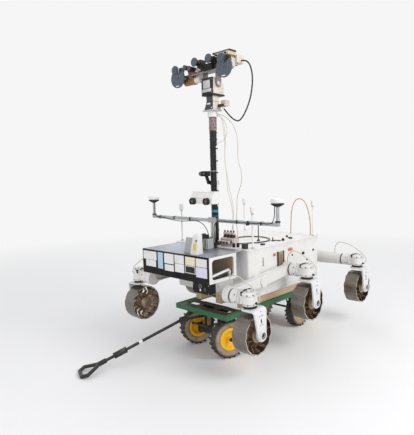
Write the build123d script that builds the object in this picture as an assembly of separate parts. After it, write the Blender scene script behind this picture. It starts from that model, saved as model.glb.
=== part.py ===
"""Six-wheeled planetary test rover with a camera mast, parked on its steel transport cart.

Millimetres, +X towards the rover's front, +Y to its left, +Z up, floor at z = 0.
Sub-parts are drawn with the middle bogie wheels near x = 0, then moved so that the origin
lies on the floor under the middle of the overall length.
"""

from build123d import *
import os
from math import asin, cos, degrees, pi, radians, sin, tan

# Rover wheels and the legs above them, in a frame with its origin at the wheel centre
wheel_radius = 142.5
wheel_width = 120
wheel_track = 1175
wheel_plates = 12
plate_thickness = 4.5
plate_step = 4.5
leaf_count = 12
leaf_thickness = 3
leaf_width = 96
hub_radius = 56
hub_width = 104
hub_dome = 26
spindle_radius = 15
spindle_length = 36
running_gap = 0.05
seat_gap = 0.3

# Bogie stations: name, x, wheel centre height, forward lean of the leg in degrees
stations = (
    ("front", 699, 327, 5),
    ("middle", 11, 387, 0),
    ("rear", -844, 337, 0),
)
sides = (("left", 1), ("right", -1))

leg_top = 178
leg_plate = 12
leg_plate_y = 74
leg_bend = 26
leg_half_top = 62
leg_half_hub = 43
boss_radius = 34
boss_out = 10
hub_hole_radius = 13
slot_width = 13
bearing_radius = 47
bearing_height = 19
housing_radius = 52
drive_height = 90
saddle_half = 34
saddle_reach = 58
actuator_up = 235
actuator_radius = 50
ring_radius = 46
ring_width = 10
bolt_radius = 4.5
bolt_circle = 41
bolt_count = 6

# Side and rear bogie beams
beam_inner = 392
beam_outer = 442
beam_end_radius = 56
beam_half_height = 38
pivot_radius = 45
pivot_cap = 9
rear_tube_middle = 62
rear_tube_end = 52
rear_boss_radius = 50

# Body and deck
body_front = 465
body_rear = -512
body_half = 380
body_bottom = 460
deck_top = 831
deck_thickness = 11
deck_half = 388
deck_front = 480
deck_rear = -520
corner_radius = 14
payload_spacing = 200
payload_hole_radius = 3.3
payload_x = -250
payload_y = -120

# Nose box in front of the body
nose_front = 850
nose_rear = 570
nose_half = 353.5
nose_bottom = 642
nose_top = 823
nose_wall = 5
nose_bracket_inset = 3.5
lid_thickness = 3
panel_thickness = 4
neck_half = 250
window_front = 822
window_rear = 597
window_bottom = 664
window_top = 804
window_radius = 24
housing_depth = 64
housing_length = 158
housing_bottom = 572

# Mast, posts, cross bar and antennas
mast_x = 400
mast_radius = 27.5
mast_top = 1820
collar_radius = 38
collar_height = 46
post_radius = 9
post_x = 458
post_pitch = 26
post_y = 28
bar_x = 481
bar_z = 1031
bar_side = 26
bar_half = 662
riser_y = 651
riser_radius = 12
puck_radius = 47
puck_bottom = 1166
puck_top = 1206
antenna_front = 409
antenna_rear = -429
antenna_y = 379
antenna_radius = 6.5
antenna_break = 1086
antenna_top = 1142
radome_radius = 17
mast_foot_radius = 48
mast_foot_thickness = 10
conduit_radius = 7
conduit_bottom = 1130
conduit_top = 1600
camera_clamp_z = 1300
camera_clamp_height = 34
camera_clamp_wall = 9
mast_camera_z = 1388
stereo_bottom = 1160
stereo_top = 1250
stereo_lens_z = 1180
stereo_lens_radius = 24
stereo_lens_length = 26
stereo_lens_y = (-70, 74)
bracket_bottom = 1150
bracket_half = 20

# Pan and tilt unit
flange_side = 112
flange_thickness = 6
pyramid_base = 93
pyramid_base_at = (391, -7)
pyramid_top = 66
pyramid_top_at = (404, 7)
pyramid_height = 62
pan_box = 118
pan_box_bottom = 1991
pan_box_top = 2112
tilt_z = 2066
cheek_gap = 5
cheek_thickness = 8
trunnion_radius = 12
bench_bottom = 2157
bench_height = 16
bench_depth = 60
bench_left = 196
bench_right = -338
disc_radius = 75
disc_thickness = 12
disc_x = 462
disc_z = 2155
disc_left = 188
disc_right = -307
selector_radius = 35
selector_y = -30
selector_z = 68
small_disc_radius = 33
small_disc_y = (-105, 43)
small_disc_up = 69
cluster_lenses = ((-208, 45), (-158, 30))
lamp_z = 2124
lamp_left = -110
lamp_right = -284
plug_reach = 0.7

# Transport cart
cart_y = 15
frame_front = 610
frame_rear = -590
frame_half = 276
frame_top = 352.5
frame_depth = 38
frame_wall = 4
cross_members = (-330, -40, 260)
tyre_radius = 146
tyre_width = 88
tyre_bead = 76
tyre_lugs = 22
lug_height = 7
lug_half = 6
rim_radius = 86
cart_axle_front = 481
cart_axle_rear = -436.5
cart_wheel_y = 200
kingpin_y = 122
kingpin_radius = 8
eye_radius = 17
lug_thickness = 9
axle_half_height = 25
stub_radius = 9
hub_half = 40
nut_radius = 14
nut_width = 14
steer_rest = -21.6
steer_arm = 80
arm_z = 196
arm_thickness = 6
tie_radius = 6
column_radius = 12
tongue_length = 254
hinge_z = 280
handle_length = 827
handle_radius = 11
handle_tip_z = 13.3
grip_start = 672
grip_half = 76
grip_radius = 13

# Timber cradle between the cart and the rover
ply_thickness = 30
ply_front = 400
ply_rear = -560
ply_half = 268
bearer_width = 60
bearer_y = 225

# Free cables: radius of each kind, and the points of each route
head_cable_radius = 5.5
side_cable_radius = 3
mast_cable_radius = 2.5
leg_cable_radius = 3.5
deck_cable_radius = 4.5
arch_cable_radius = 4
bar_cable_radius = 3

head_cable_points = (
    (296, 212.5, 2222), (297, 252, 2219), (299, 290, 2186), (300, 312, 2128), (300, 317, 2062),
    (300, 308, 1994), (300, 290, 1928), (300, 260, 1866), (300, 222, 1812), (301, 182, 1779), (308, 146, 1789),
    (324, 118, 1817), (344, 100, 1848), (362, 86, 1878),
)
side_cable_points = (
    (372.7, 27.3, 1842), (352, 46, 1840), (318, 80, 1812), (286, 106, 1766), (264, 120, 1706), (254, 125, 1640),
    (250, 122, 1576), (248, 116, 1514), (250, 132, 1456), (251, 153, 1398), (250, 157, 1336), (249, 140, 1280),
    (250, 114, 1228), (252, 103, 1170), (250, 101, 1108), (246, 92, 1048), (240, 84, 990), (238, 88, 930),
    (246, 98, 878), (246, 100, 831.2),
)
mast_cable_points = (
    (
        (400, 38.6, 1852), (398, 54, 1848), (390, 78, 1816), (382, 88, 1752), (376, 92, 1688), (371, 95, 1622),
        (370, 89, 1556), (370, 88, 1490), (370, 96, 1426), (370, 106, 1362), (370, 107, 1296), (370, 118, 1232),
        (370, 141, 1172), (370, 155, 1110), (369, 160, 1044), (367, 157, 980), (363, 151, 932), (362, 149, 891.2),
    ),
    (
        (388.7, 37, 1830), (382, 58, 1824), (374, 90, 1796), (369, 114, 1748), (368, 118, 1704), (372, 108, 1662),
        (380, 86, 1636), (390, 62, 1631), (398, 44, 1620), (400, 34.8, 1598),
    ),
    (
        (376.3, 30.5, 1834), (364, 47, 1828), (350, 66, 1790), (345, 73, 1726), (343, 77, 1660), (343, 73, 1594),
        (346, 70, 1528), (347, 74, 1462), (342, 82, 1396), (336, 86, 1330), (332, 96, 1264), (329, 114, 1200),
        (326, 126, 1136), (324, 128, 1070), (324, 122, 1004), (325, 108, 942), (325, 98, 886), (325, 96, 831.2),
    ),
)
leg_cable_starts = (
    ("front", ((8, -170.5, 291), (9, -168.5, 324), (11, -154.5, 356))),
    ("middle", ((8, -170.5, 291), (9, -168.5, 324), (11, -154.5, 356))),
    ("rear", ((6, -216.5, 287.1), (6, -216, 330), (9, -198, 372), (13, -158, 396))),
)
leg_cable_end = (
    (13, -115.5, 386), (10, -69.5, 378), (5, -29.5, 354), (2, 12.5, 330), (1, 58.5, 303), (0, 82.5, 268),
    (0, 86.5, 242), (0, 77.5, 222), (0, 53.4, 213),
)
deck_cable_points = (
    (338.8, 160, 836), (288, 172, 836), (240, 203, 836), (190, 239, 836), (126, 262, 836), (56, 259, 836),
    (-10, 230, 836), (-62, 178, 836), (-93, 112, 836), (-96, 40, 836), (-68, -24, 836), (-12, -64, 836),
    (58, -73, 836), (124, -48, 836), (178, -3, 836), (226, 42, 836), (282, 73, 836), (338.9, 84, 836),
)
arch_cable_points = (
    (-450, 142, 831.2), (-451, 143, 896), (-450, 146, 966), (-450, 152, 1034), (-450, 168, 1096), (-449, 200, 1142),
    (-448, 250, 1152), (-447, 294, 1120), (-446, 322, 1062), (-445, 338, 996), (-446, 346, 928), (-448, 345, 880),
    (-449, 344, 831.2),
)
bar_cable_points = (
    (
        (489, 631, 1165.8), (490, 633, 1120), (495, 632, 1074), (499, 618, 1040), (500, 582, 1031), (500, 524, 1034),
        (499, 462, 1029), (498, 400, 1033), (498, 340, 1026), (499, 282, 1032), (499, 226, 1027), (498, 170, 1033),
        (499, 122, 1030), (499, 88, 1010), (491, 70, 976), (479, 62, 932), (470, 60, 880), (468, 60, 831.2),
    ),
    (
        (489, -631, 1165.8), (490, -633, 1120), (495, -632, 1074), (499, -618, 1040), (499, -580, 1028),
        (500, -520, 1030), (499, -458, 1020), (498, -396, 1014), (498, -338, 1009), (499, -280, 1008),
        (499, -224, 1012), (499, -168, 1018), (499, -112, 1020), (499, -64, 1011), (491, -28, 984), (479, -8, 938),
        (470, -2, 884), (468, -2, 831.2),
    ),
)


def block(x0, x1, y0, y1, z0, z1):
    """Box between two opposite corners."""
    return Pos((x0 + x1) / 2, (y0 + y1) / 2, (z0 + z1) / 2) * Box(x1 - x0, y1 - y0, z1 - z0)


def rod(start, end, radius):
    """Round bar between two points."""
    a, b = Vector(*start), Vector(*end)
    return extrude(Plane(origin=a, z_dir=b - a) * Circle(radius), amount=(b - a).length)


def prism_x(sketch, x0, x1):
    """Sketch in (y, z), extruded along X."""
    return extrude(Plane.YZ.offset(x0) * sketch, amount=x1 - x0)


def prism_y(sketch, y0, y1):
    """Sketch in (x, z), extruded along Y."""
    return extrude(Plane.XZ.offset(-y0) * sketch, amount=-(y1 - y0))


def prism_z(sketch, z0, z1):
    """Sketch in (x, y), extruded along Z."""
    return extrude(Plane.XY.offset(z0) * sketch, amount=z1 - z0)


def outline(*points):
    """Closed face through the points."""
    return make_face(Polyline(*points, close=True))


def spun(*points):
    """Solid of revolution about Y from (radius, y) points."""
    return revolve(outline(*points), axis=Axis.Y)


def polar(radius, angle):
    """Point at a radius and an angle in degrees."""
    return radius * cos(radians(angle)), radius * sin(radians(angle))


def mirrored(shape, side):
    """The shape itself on the left, its mirror image on the right."""
    return shape if side > 0 else mirror(shape, about=Plane.XZ)


def at_station(shape, x, z, lean, side):
    """Places a leg-frame shape at a wheel centre, leaning forward."""
    return Pos(x, side * wheel_track / 2, z) * Rot(0, lean, 0) * mirrored(shape, side)


def cable(points, radius):
    """Free cable: straight runs joined by arcs as large as the runs allow."""
    at = [Vector(*p) for p in points]
    radii = []
    for a, b, c in zip(at, at[1:], at[2:]):
        turn = radians((b - a).get_angle(c - b))
        radii.append(0.45 * min((b - a).length, (c - b).length) / tan(turn / 2))
    path = FilletPolyline(*at, radius=radii)
    tube = sweep(Plane(origin=at[0], z_dir=at[1] - at[0]) * Circle(radius), path=path)
    exact = pi * radius**2 * path.length
    print("cable length", round(path.length), "radius", round(min(radii)), "volume", round(tube.volume / exact, 4))
    return tube


def actuator_point(x, z, lean):
    """Centre of the deployment actuator above a wheel, as (x, z)."""
    return x + actuator_up * sin(radians(lean)), z + actuator_up * cos(radians(lean))


# Rover wheel: a hoop of overlapping flat plates, leaf springs and a domed hub
def hoop():
    step = 360 / wheel_plates
    outer, inner = [], []
    for i in range(wheel_plates):
        outer.append(polar(wheel_radius, i * step))
        outer.append(polar(wheel_radius - plate_step, (i + 1) * step))
        inner.append(polar(wheel_radius - plate_step - plate_thickness, i * step))
    return prism_y(outline(*outer) - outline(*inner), -wheel_width / 2, wheel_width / 2)


def leaf(angle):
    """Dog-legged leaf spring from the hub out to the hoop."""
    inside = hub_radius - 6
    outside = (wheel_radius - plate_step - plate_thickness) * cos(pi / wheel_plates)
    bends = ((inside, 0), (84, 13), (106, 10), (outside + 3, -6))
    near = [polar(r, angle + a) for r, a in bends]
    far = [polar(r, angle + a + degrees(leaf_thickness / r)) for r, a in bends]
    return prism_y(outline(*near, *reversed(far)), -leaf_width / 2, leaf_width / 2)


def wheel():
    half = hub_width / 2
    hub = spun(
        (0, -half - hub_dome), (hub_radius * 0.55, -half - hub_dome * 0.8),
        (hub_radius * 0.88, -half - hub_dome * 0.3), (hub_radius, -half),
        (hub_radius, half), (hub_radius * 0.7, half + 6), (0, half + 6),
    )
    bore_start = half + 6 - spindle_length - 2
    hub -= rod((0, bore_start, 0), (0, half + 7, 0), spindle_radius + running_gap)
    leaves = [leaf(i * 360 / leaf_count) for i in range(leaf_count)]
    return hub + leaves + hoop()


# Leg: an L-shaped plate from under the steering housing, down the wheel's outer side
def leg():
    out = leg_plate_y + leg_plate
    fold = (
        Line((-bearing_radius, leg_top), (out - leg_bend, leg_top))
        + RadiusArc((out - leg_bend, leg_top), (out, leg_top - leg_bend), leg_bend)
        + Line((out, leg_top - leg_bend), (out, -leg_half_hub))
        + Line((out, -leg_half_hub), (leg_plate_y, -leg_half_hub))
        + Line((leg_plate_y, -leg_half_hub), (leg_plate_y, leg_top - leg_bend))
        + RadiusArc((leg_plate_y, leg_top - leg_bend), (out - leg_bend, leg_top - leg_plate), leg_plate - leg_bend)
        + Line((out - leg_bend, leg_top - leg_plate), (-bearing_radius, leg_top - leg_plate))
        + Line((-bearing_radius, leg_top - leg_plate), (-bearing_radius, leg_top))
    )
    section = prism_x(make_face(fold), -leg_half_top, leg_half_top)
    taper = make_hull(
        (Pos(0, leg_top) * Rectangle(2 * leg_half_top, 40)).edges() + Circle(leg_half_hub).edges()
    )
    bracket = section & prism_y(taper, -bearing_radius, out)
    corners = Circle(leg_half_top) + Pos(0, leg_half_top) * Rectangle(2 * leg_half_top, 2 * leg_half_top)
    bracket &= prism_z(corners, -leg_half_hub, leg_top)
    hub_face = hub_width / 2 + 6 + seat_gap
    bracket += rod((0, hub_face, 0), (0, out + boss_out, 0), boss_radius)
    bracket += rod((0, hub_face - spindle_length, 0), (0, out, 0), spindle_radius)
    bracket -= rod((0, out + 3, 0), (0, out + boss_out + 1, 0), hub_hole_radius)
    for z, length in ((104, 44), (150, 16)):
        slot = Pos(0, z - leg_bend / 2) * Rot(0, 0, 90) * SlotOverall(length, slot_width)
        bracket -= prism_y(slot, out - 4, out + 1)
    return bracket


def bearing_ring():
    return Pos(0, 0, leg_top + seat_gap + bearing_height / 2) * Cylinder(bearing_radius, bearing_height)


def steering_housing():
    base = leg_top + seat_gap + bearing_height
    drum = Pos(0, 0, base + drive_height / 2) * Cylinder(housing_radius, drive_height)
    drum = chamfer(drum.edges().filter_by(GeomType.CIRCLE).sort_by(Axis.Z)[-1], 5)
    saddle = block(
        -saddle_half, saddle_half, -saddle_reach, 0, actuator_up - saddle_half, actuator_up + saddle_half
    )
    bolts = [
        Pos(*polar(bolt_circle, i * 360 / bolt_count), base + drive_height)
        * Cylinder(bolt_radius, 8)
        for i in range(bolt_count)
    ]
    return drum + saddle + bolts


def drum_inner():
    """Inner end of the deployment actuator, in the leg frame."""
    return beam_outer + ring_width - wheel_track / 2


def actuator():
    drum = rod((0, drum_inner(), actuator_up), (0, -saddle_reach, actuator_up), actuator_radius)
    drum = chamfer(drum.edges().filter_by(GeomType.CIRCLE), 4)
    for i in range(bolt_count):
        x, z = polar(bolt_circle, i * 360 / bolt_count)
        drum += rod((x, -saddle_reach - 1, actuator_up + z), (x, -saddle_reach + 6, actuator_up + z), bolt_radius)
    return drum


def actuator_ring():
    return rod(
        (0, drum_inner() - ring_width, actuator_up), (0, drum_inner(), actuator_up), ring_radius
    )


# Bogie beams
def side_bogie(side):
    fx, fz = actuator_point(*stations[0][1:])
    mx, mz = actuator_point(*stations[1][1:])
    ends = Pos(fx, fz) * Circle(beam_end_radius) + Pos(mx, mz) * Circle(beam_end_radius)
    web = make_hull(
        (Pos(fx, fz) * Circle(beam_half_height)).edges() + (Pos(mx, mz) * Circle(beam_half_height)).edges()
    )
    beam = prism_y(ends + web, beam_inner, beam_outer)
    x, z = (fx + mx) / 2, (fz + mz) / 2
    beam += rod((x, body_half, z), (x, beam_outer + pivot_cap, z), pivot_radius)
    return mirrored(beam, side)


def rear_bogie():
    x, z = actuator_point(*stations[2][1:])
    tube = spun(
        (0, -beam_outer), (rear_tube_end, -beam_outer), (rear_tube_end, 80 - beam_outer),
        (rear_tube_middle, -150), (rear_tube_middle, 150), (rear_tube_end, beam_outer - 80),
        (rear_tube_end, beam_outer), (0, beam_outer),
    )
    return Pos(x, 0, z) * tube + rod((x, 0, z), (body_rear, 0, z), rear_boss_radius)


# Body, deck and nose
def body_tub():
    tub = block(body_rear, body_front, -body_half, body_half, body_bottom, deck_top - deck_thickness)
    return fillet(tub.edges().filter_by(Axis.Z), corner_radius)


def deck_plate():
    plate = block(deck_rear, deck_front, -deck_half, deck_half, deck_top - deck_thickness, deck_top)
    plate = fillet(plate.edges().filter_by(Axis.Z), corner_radius)
    plate = chamfer(plate.faces().sort_by(Axis.Z)[-1].edges(), 3)
    for sx in (-0.5, 0.5):
        for sy in (-0.5, 0.5):
            x, y = payload_x + sx * payload_spacing, payload_y + sy * payload_spacing
            plate -= rod((x, y, deck_top - deck_thickness + 1), (x, y, deck_top + 1), payload_hole_radius)
    return plate


def nose_box():
    shell = block(nose_rear, nose_front, -nose_half, nose_half, nose_bottom, nose_top)
    shell -= block(
        nose_rear + nose_wall, nose_front - nose_wall, -nose_half + 12, nose_half - 12,
        nose_bottom + nose_wall, nose_top + 1,
    )
    middle = Pos((window_front + window_rear) / 2, (window_bottom + window_top) / 2)
    window = middle * RectangleRounded(
        window_front - window_rear, window_top - window_bottom, window_radius
    )
    shell -= prism_y(window, -nose_half - 1, nose_half + 1)
    neck = block(body_front, deck_front, -neck_half, neck_half, nose_bottom, deck_top - deck_thickness)
    shell += neck + block(deck_front, nose_rear, -neck_half, neck_half, nose_bottom, nose_top)
    for s in (-1, 1):
        shell += nose_bracket(s)
    return shell


def nose_bracket(side):
    """Folded plate under the nose's edge with a shelf back to the body."""
    edge = nose_half - nose_bracket_inset
    plate = prism_y(outline((604, nose_bottom), (764, nose_bottom), (738, 556), (612, 556)), edge - 5, edge)
    plate += block(613, 737, edge - 32, edge, 556, 561)
    plate += block(body_front, 640, edge - 50, edge, 602, 607)
    return mirrored(plate, side)


def nose_lid():
    lid = block(deck_front, nose_front, -nose_half, nose_half, nose_top, nose_top + lid_thickness)
    return lid


def nose_panel():
    """Black front plate with the camera housing that hangs from its left end."""
    front = nose_front + panel_thickness
    plate = block(nose_front, front, -nose_half, nose_half, nose_bottom, nose_top + lid_thickness)
    return plate + block(
        front - housing_depth, front, nose_half - housing_length, nose_half, housing_bottom, nose_bottom
    )


# Mast and what stands on the deck
def conduit_groove():
    """Room for the conduit in the clamps round the mast."""
    y = mast_radius + seat_gap + conduit_radius
    return rod((mast_x, y, conduit_bottom - 1), (mast_x, y, conduit_top + 1), conduit_radius + 3 * seat_gap)


def mast_tube():
    """Mast on its foot, with the small camera on an arm clamped to its front."""
    tube = rod((mast_x, 0, deck_top), (mast_x, 0, mast_top), mast_radius)
    tube += rod((mast_x, 0, deck_top), (mast_x, 0, deck_top + mast_foot_thickness), mast_foot_radius)
    clamp_top = camera_clamp_z + camera_clamp_height
    clamp = rod((mast_x, 0, camera_clamp_z), (mast_x, 0, clamp_top), mast_radius + camera_clamp_wall)
    tube += clamp - conduit_groove()
    front = mast_x + mast_radius
    arm = outline(
        (front, camera_clamp_z + 6), (front + 16, camera_clamp_z + 6), (front + 44, mast_camera_z - 18),
        (front + 44, mast_camera_z + 6), (front + 30, mast_camera_z + 6), (front, clamp_top - 4),
    )
    tube += prism_y(arm, -34, -20)
    body = block(front + 20, front + 58, -66, 6, mast_camera_z - 20, mast_camera_z + 20)
    tube += fillet(body.edges().filter_by(Axis.X), 8)
    for y, radius in ((-48, 16), (-12, 12)):
        tube += rod((front + 58, y, mast_camera_z), (front + 78, y, mast_camera_z), radius)
    return tube


def mast_collar():
    """White collar at the mast's top, and the white conduit strapped beside the mast."""
    collar = rod((mast_x, 0, mast_top), (mast_x, 0, mast_top + collar_height), collar_radius)
    y = mast_radius + seat_gap + conduit_radius
    conduit = rod((mast_x, y, conduit_bottom), (mast_x, y, conduit_top), conduit_radius)
    middle = (conduit_bottom + conduit_top) / 2
    return Compound([collar, conduit - rod((mast_x, y, middle), (mast_x, y, conduit_top + 1), conduit_radius - 2)])


def mast_posts():
    top = bar_z + bar_side / 2
    return Compound([
        rod((post_x, post_y + k * post_pitch / 2, deck_top), (post_x, post_y + k * post_pitch / 2, top), post_radius)
        for k in (-1, 1)
    ])


def cross_bar():
    bar = block(bar_x - bar_side / 2, bar_x + bar_side / 2, -bar_half, bar_half,
                bar_z - bar_side / 2, bar_z + bar_side / 2)
    bar += block(post_x, bar_x, post_y - 30, post_y + 30, bar_z - 20, bar_z + 20)
    for k in (-1, 1):
        y = post_y + k * post_pitch / 2
        bar -= rod((post_x, y, bar_z - 40), (post_x, y, bar_z + 40), post_radius)
    risers = [rod((bar_x, s * riser_y, bar_z), (bar_x, s * riser_y, puck_bottom), riser_radius) for s in (-1, 1)]
    return bar + risers


def satellite_antennas():
    """Pair of round antennas with a tapered underside and a domed edge."""
    profile = outline(
        (0, puck_bottom), (riser_radius + 10, puck_bottom), (puck_radius - 2, puck_bottom + 13), (puck_radius, puck_bottom + 18),
        (puck_radius, puck_top - 9), (puck_radius - 5, puck_top - 2), (puck_radius - 14, puck_top), (0, puck_top),
    )
    puck = revolve(Plane.XZ * profile, axis=Axis.Z)
    return Compound([Pos(bar_x, s * riser_y, 0) * puck for s in (-1, 1)])


def radio_antennas():
    posts = []
    for x in (antenna_front, antenna_rear):
        for s in (-1, 1):
            y = s * antenna_y
            profile = outline(
                (0, deck_top), (antenna_radius + 2.5, deck_top), (antenna_radius + 2.5, deck_top + 8),
                (antenna_radius, deck_top + 8), (antenna_radius, antenna_break), (radome_radius - 3, antenna_break + 6),
                (radome_radius, antenna_break + 14), (radome_radius, antenna_top - 8), (radome_radius - 6, antenna_top),
                (0, antenna_top),
            )
            posts.append(Pos(x, y, 0) * revolve(Plane.XZ * profile, axis=Axis.Z))
    return Compound(posts)


def stereo_camera():
    """Wedge-shaped housing with two lens barrels, on a bracket clamped round the mast."""
    x = mast_x + mast_radius
    bracket = rod((mast_x, 0, bracket_bottom), (mast_x, 0, stereo_bottom + 6), mast_radius + 9)
    bracket += block(x, x + 60, -bracket_half, bracket_half, bracket_bottom, stereo_bottom + 6)
    bracket -= rod((mast_x, 0, bracket_bottom - 1), (mast_x, 0, stereo_top), mast_radius)
    bracket -= conduit_groove()
    front = x + 135
    body = prism_y(outline(
        (x + 55, stereo_bottom), (front, stereo_bottom), (front, stereo_top - 42), (front - 30, stereo_top),
        (x + 55, stereo_top)), -108, 122)
    for y in stereo_lens_y:
        barrel = rod((front - 10, y, stereo_lens_z), (front + stereo_lens_length, y, stereo_lens_z), stereo_lens_radius)
        body += barrel - rod((front + stereo_lens_length - 7, y, stereo_lens_z),
                             (front + stereo_lens_length + 1, y, stereo_lens_z), stereo_lens_radius - 5)
    return body + bracket


def sun_sensor():
    """Tapered white housing with a round eye near its top."""
    z = nose_top + lid_thickness
    base = Plane.XY.offset(z) * (Pos(792, 178) * Rectangle(66, 62))
    top = Plane.XY.offset(z + 142) * (Pos(782, 184) * Rectangle(40, 46))
    eye = Pos(800, 194, z + 94) * Rot(0, 90, 0) * Cylinder(11, 30)
    return chamfer(loft([base, top]).faces().sort_by(Axis.Z)[-1].edges(), 8) - eye


def deck_instruments():
    """Finned instrument on the nose lid and the leaning plate in front of it."""
    z = nose_top + lid_thickness
    box = block(530, 594, -6, 96, z, z + 80) + block(538, 586, 2, 60, z + 80, z + 102)
    for i in range(7):
        box += block(594, 602, -6 + 16 * i, 16 * i, z + 8, z + 72)
    box += rod((562, 31, z + 102), (562, 31, z + 110), 14)
    plate = prism_y(outline((792, z), (800, z), (774, z + 110), (767, z + 108)), 58, 124)
    plate += block(748, 800, 58, 124, z, z + 4)
    return Compound([box, plate])


def connector_block():
    """Junction box with its row of plugs, a loose plug at its side and the whip antenna."""
    box = block(340, 420, 70, 190, deck_top, deck_top + 60)
    box = chamfer(box.edges().filter_by(Axis.Y).sort_by(Axis.Z)[-2:], 6)
    for i in range(4):
        y = 86 + 30 * i
        box += rod((420, y, deck_top + 34), (442, y, deck_top + 34), 11)
        box += rod((384, y, deck_top + 60), (384, y, deck_top + 86), 10)
    plug = block(424, 462, 312, 350, deck_top, deck_top + 40)
    plug = fillet(plug.edges().filter_by(Axis.Z), 6)
    whip = rod((79, 178, deck_top), (79, 178, deck_top + 12), 12) + rod((79, 178, deck_top), (79, 178, deck_top + 150), 4)
    return Compound([box, plug, whip])


# Pan and tilt unit
def pan_base():
    z = mast_top + collar_height + seat_gap
    flange = Pos(mast_x, 0, z + flange_thickness / 2) * Box(flange_side, flange_side, flange_thickness)
    low = Plane.XY.offset(z + flange_thickness) * (Pos(*pyramid_base_at) * Rectangle(pyramid_base, pyramid_base))
    top = z + flange_thickness + pyramid_height
    square = Pos(*pyramid_top_at) * Rectangle(pyramid_top, pyramid_top)
    base = flange + loft([low, Plane.XY.offset(top) * square]) + prism_z(square, top, pan_box_bottom)
    base += block(350, 386, 30, 92, 1894, 1914)
    base += fillet(block(306, 356, 48, 94, 1902, 1946).edges().filter_by(Axis.Y), 5)
    before, end = Vector(*head_cable_points[-2]), Vector(*head_cable_points[-1])
    return base + rod(end, end + (end - before) * plug_reach, 8)


def pan_head():
    half = pan_box / 2
    box = block(mast_x - half, mast_x + half, -half, half, pan_box_bottom, pan_box_top)
    box = fillet(box.edges().filter_by(Axis.Z), 9)
    box = chamfer(box.faces().sort_by(Axis.Z)[-1].edges(), 5)
    box += block(mast_x - half - 22, mast_x - half + 4, -48, half - 9, pan_box_bottom + 4, pan_box_bottom + 80)
    shoulder = half + cheek_gap
    box += rod((mast_x, -shoulder, tilt_z), (mast_x, shoulder, tilt_z), 22)
    trunnion = shoulder + seat_gap + cheek_thickness
    return box + rod((mast_x, -trunnion, tilt_z), (mast_x, trunnion, tilt_z), trunnion_radius)


def camera_bench():
    inner = pan_box / 2 + cheek_gap + seat_gap
    bench = block(
        mast_x - bench_depth / 2, mast_x + bench_depth / 2, bench_right, bench_left,
        bench_bottom, bench_bottom + bench_height,
    )
    for s in (-1, 1):
        cheek = make_hull(
            (Pos(mast_x, tilt_z) * Circle(26)).edges()
            + (Pos(mast_x, bench_bottom + 4) * Rectangle(bench_depth, 8)).edges()
        )
        y = (inner, inner + cheek_thickness)
        bench += prism_y(cheek, min(s * y[0], s * y[1]), max(s * y[0], s * y[1]))
    return bench - rod((mast_x, -pan_box, tilt_z), (mast_x, pan_box, tilt_z), trunnion_radius + running_gap)


def filter_discs():
    """Pair of filter wheels, each with a notch at its aperture and a smaller selector disc."""
    discs = []
    for y in (disc_left, disc_right):
        face = Pos(y, disc_z) * Circle(disc_radius) + Pos(y + selector_y, disc_z + selector_z) * Circle(selector_radius)
        notch = outline((y + 4, disc_z + 20), (y + 2, disc_z + 90), (y + 44, disc_z + 90), (y + 54, disc_z + 50))
        disc = prism_x(face - notch, disc_x, disc_x + disc_thickness)
        front = disc_x + disc_thickness
        disc += rod((front, y + selector_y, disc_z + selector_z), (front + 5, y + selector_y, disc_z + selector_z),
                    selector_radius - 4)
        disc += rod((front, y, disc_z), (front + 4, y, disc_z), 9)
        disc += rod((mast_x + bench_depth / 2, y, disc_z + 4), (disc_x, y, disc_z + 4), 30)
        disc += prism_x(outline((y + 8, disc_z + 24), (y + 12, disc_z + 78), (y + 40, disc_z + 78), (y + 52, disc_z + 48)),
                        mast_x + bench_depth / 2 + 10, disc_x + 4)
        discs.append(disc)
    return Compound(discs)


def bench_cameras():
    """Two cameras behind small discs, the lens cluster beside them and the brass lamp under the bench."""
    top = bench_bottom + bench_height
    front = mast_x + bench_depth / 2
    pieces = []
    for y in small_disc_y:
        middle = top + small_disc_up
        camera = block(mast_x - 24, front, y - 24, y + 24, top + 38, middle + 25)
        camera = fillet(camera.edges().filter_by(Axis.X), 6)
        camera += block(mast_x - 18, front - 8, y - 16, y + 16, top, top + 44)
        camera += rod((front, y, middle), (front + 46, y, middle), 18)
        camera += rod((front + 16, y, middle), (front + 26, y, middle), 22)
        pieces.append(camera + rod((front + 46, y, middle), (front + 54, y, middle), small_disc_radius))
    cluster = block(mast_x - 20, front + 4, -222, -142, top, top + 26)
    for y, z in cluster_lenses:
        cluster += block(mast_x - 16, front + 10, y - 14, y + 14, top + 20, top + z + 14)
        cluster += rod((front + 6, y, top + z), (front + 52, y, top + z), 17)
        cluster += rod((front + 52, y, top + z), (front + 60, y, top + z), 20)
    lamp = rod((mast_x + 2, lamp_right, lamp_z), (mast_x + 2, -184, lamp_z), 27)
    lamp += rod((mast_x + 2, -184, lamp_z), (mast_x + 2, -168, lamp_z), 31)
    lamp += rod((mast_x + 2, -168, lamp_z), (mast_x + 2, lamp_left, lamp_z), 25)
    for y in (lamp_right + 18, -196):
        lamp += block(mast_x - 14, mast_x + 18, y - 5, y + 5, lamp_z, bench_bottom - seat_gap)
    return Compound([*pieces, cluster, lamp])


def bench_electronics():
    """Stacked boxes on the bench, and the white box behind them on its triangular bracket."""
    top = bench_bottom + bench_height
    stack = block(mast_x - 50, mast_x + 24, 92, 196, top, top + 62)
    stack += block(mast_x - 44, mast_x + 18, 98, 190, top + 62, top + 76)
    stack += block(mast_x - 54, mast_x + 36, 74, 204, top + 76, top + 104)
    stack += block(mast_x - 48, mast_x + 30, 40, 210, top + 104, top + 114)
    stack += rod((mast_x - 10, 60, top + 104), (mast_x - 10, 60, top + 122), 12)
    rear = mast_x - 50
    stack += block(rear - 84, rear, 104, 212, top + 30, top + 88)
    gusset = outline((rear, top), (rear, top + 30), (rear - 70, top + 30))
    return stack + prism_y(gusset, 130, 140) + prism_y(gusset, 180, 190)


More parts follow.
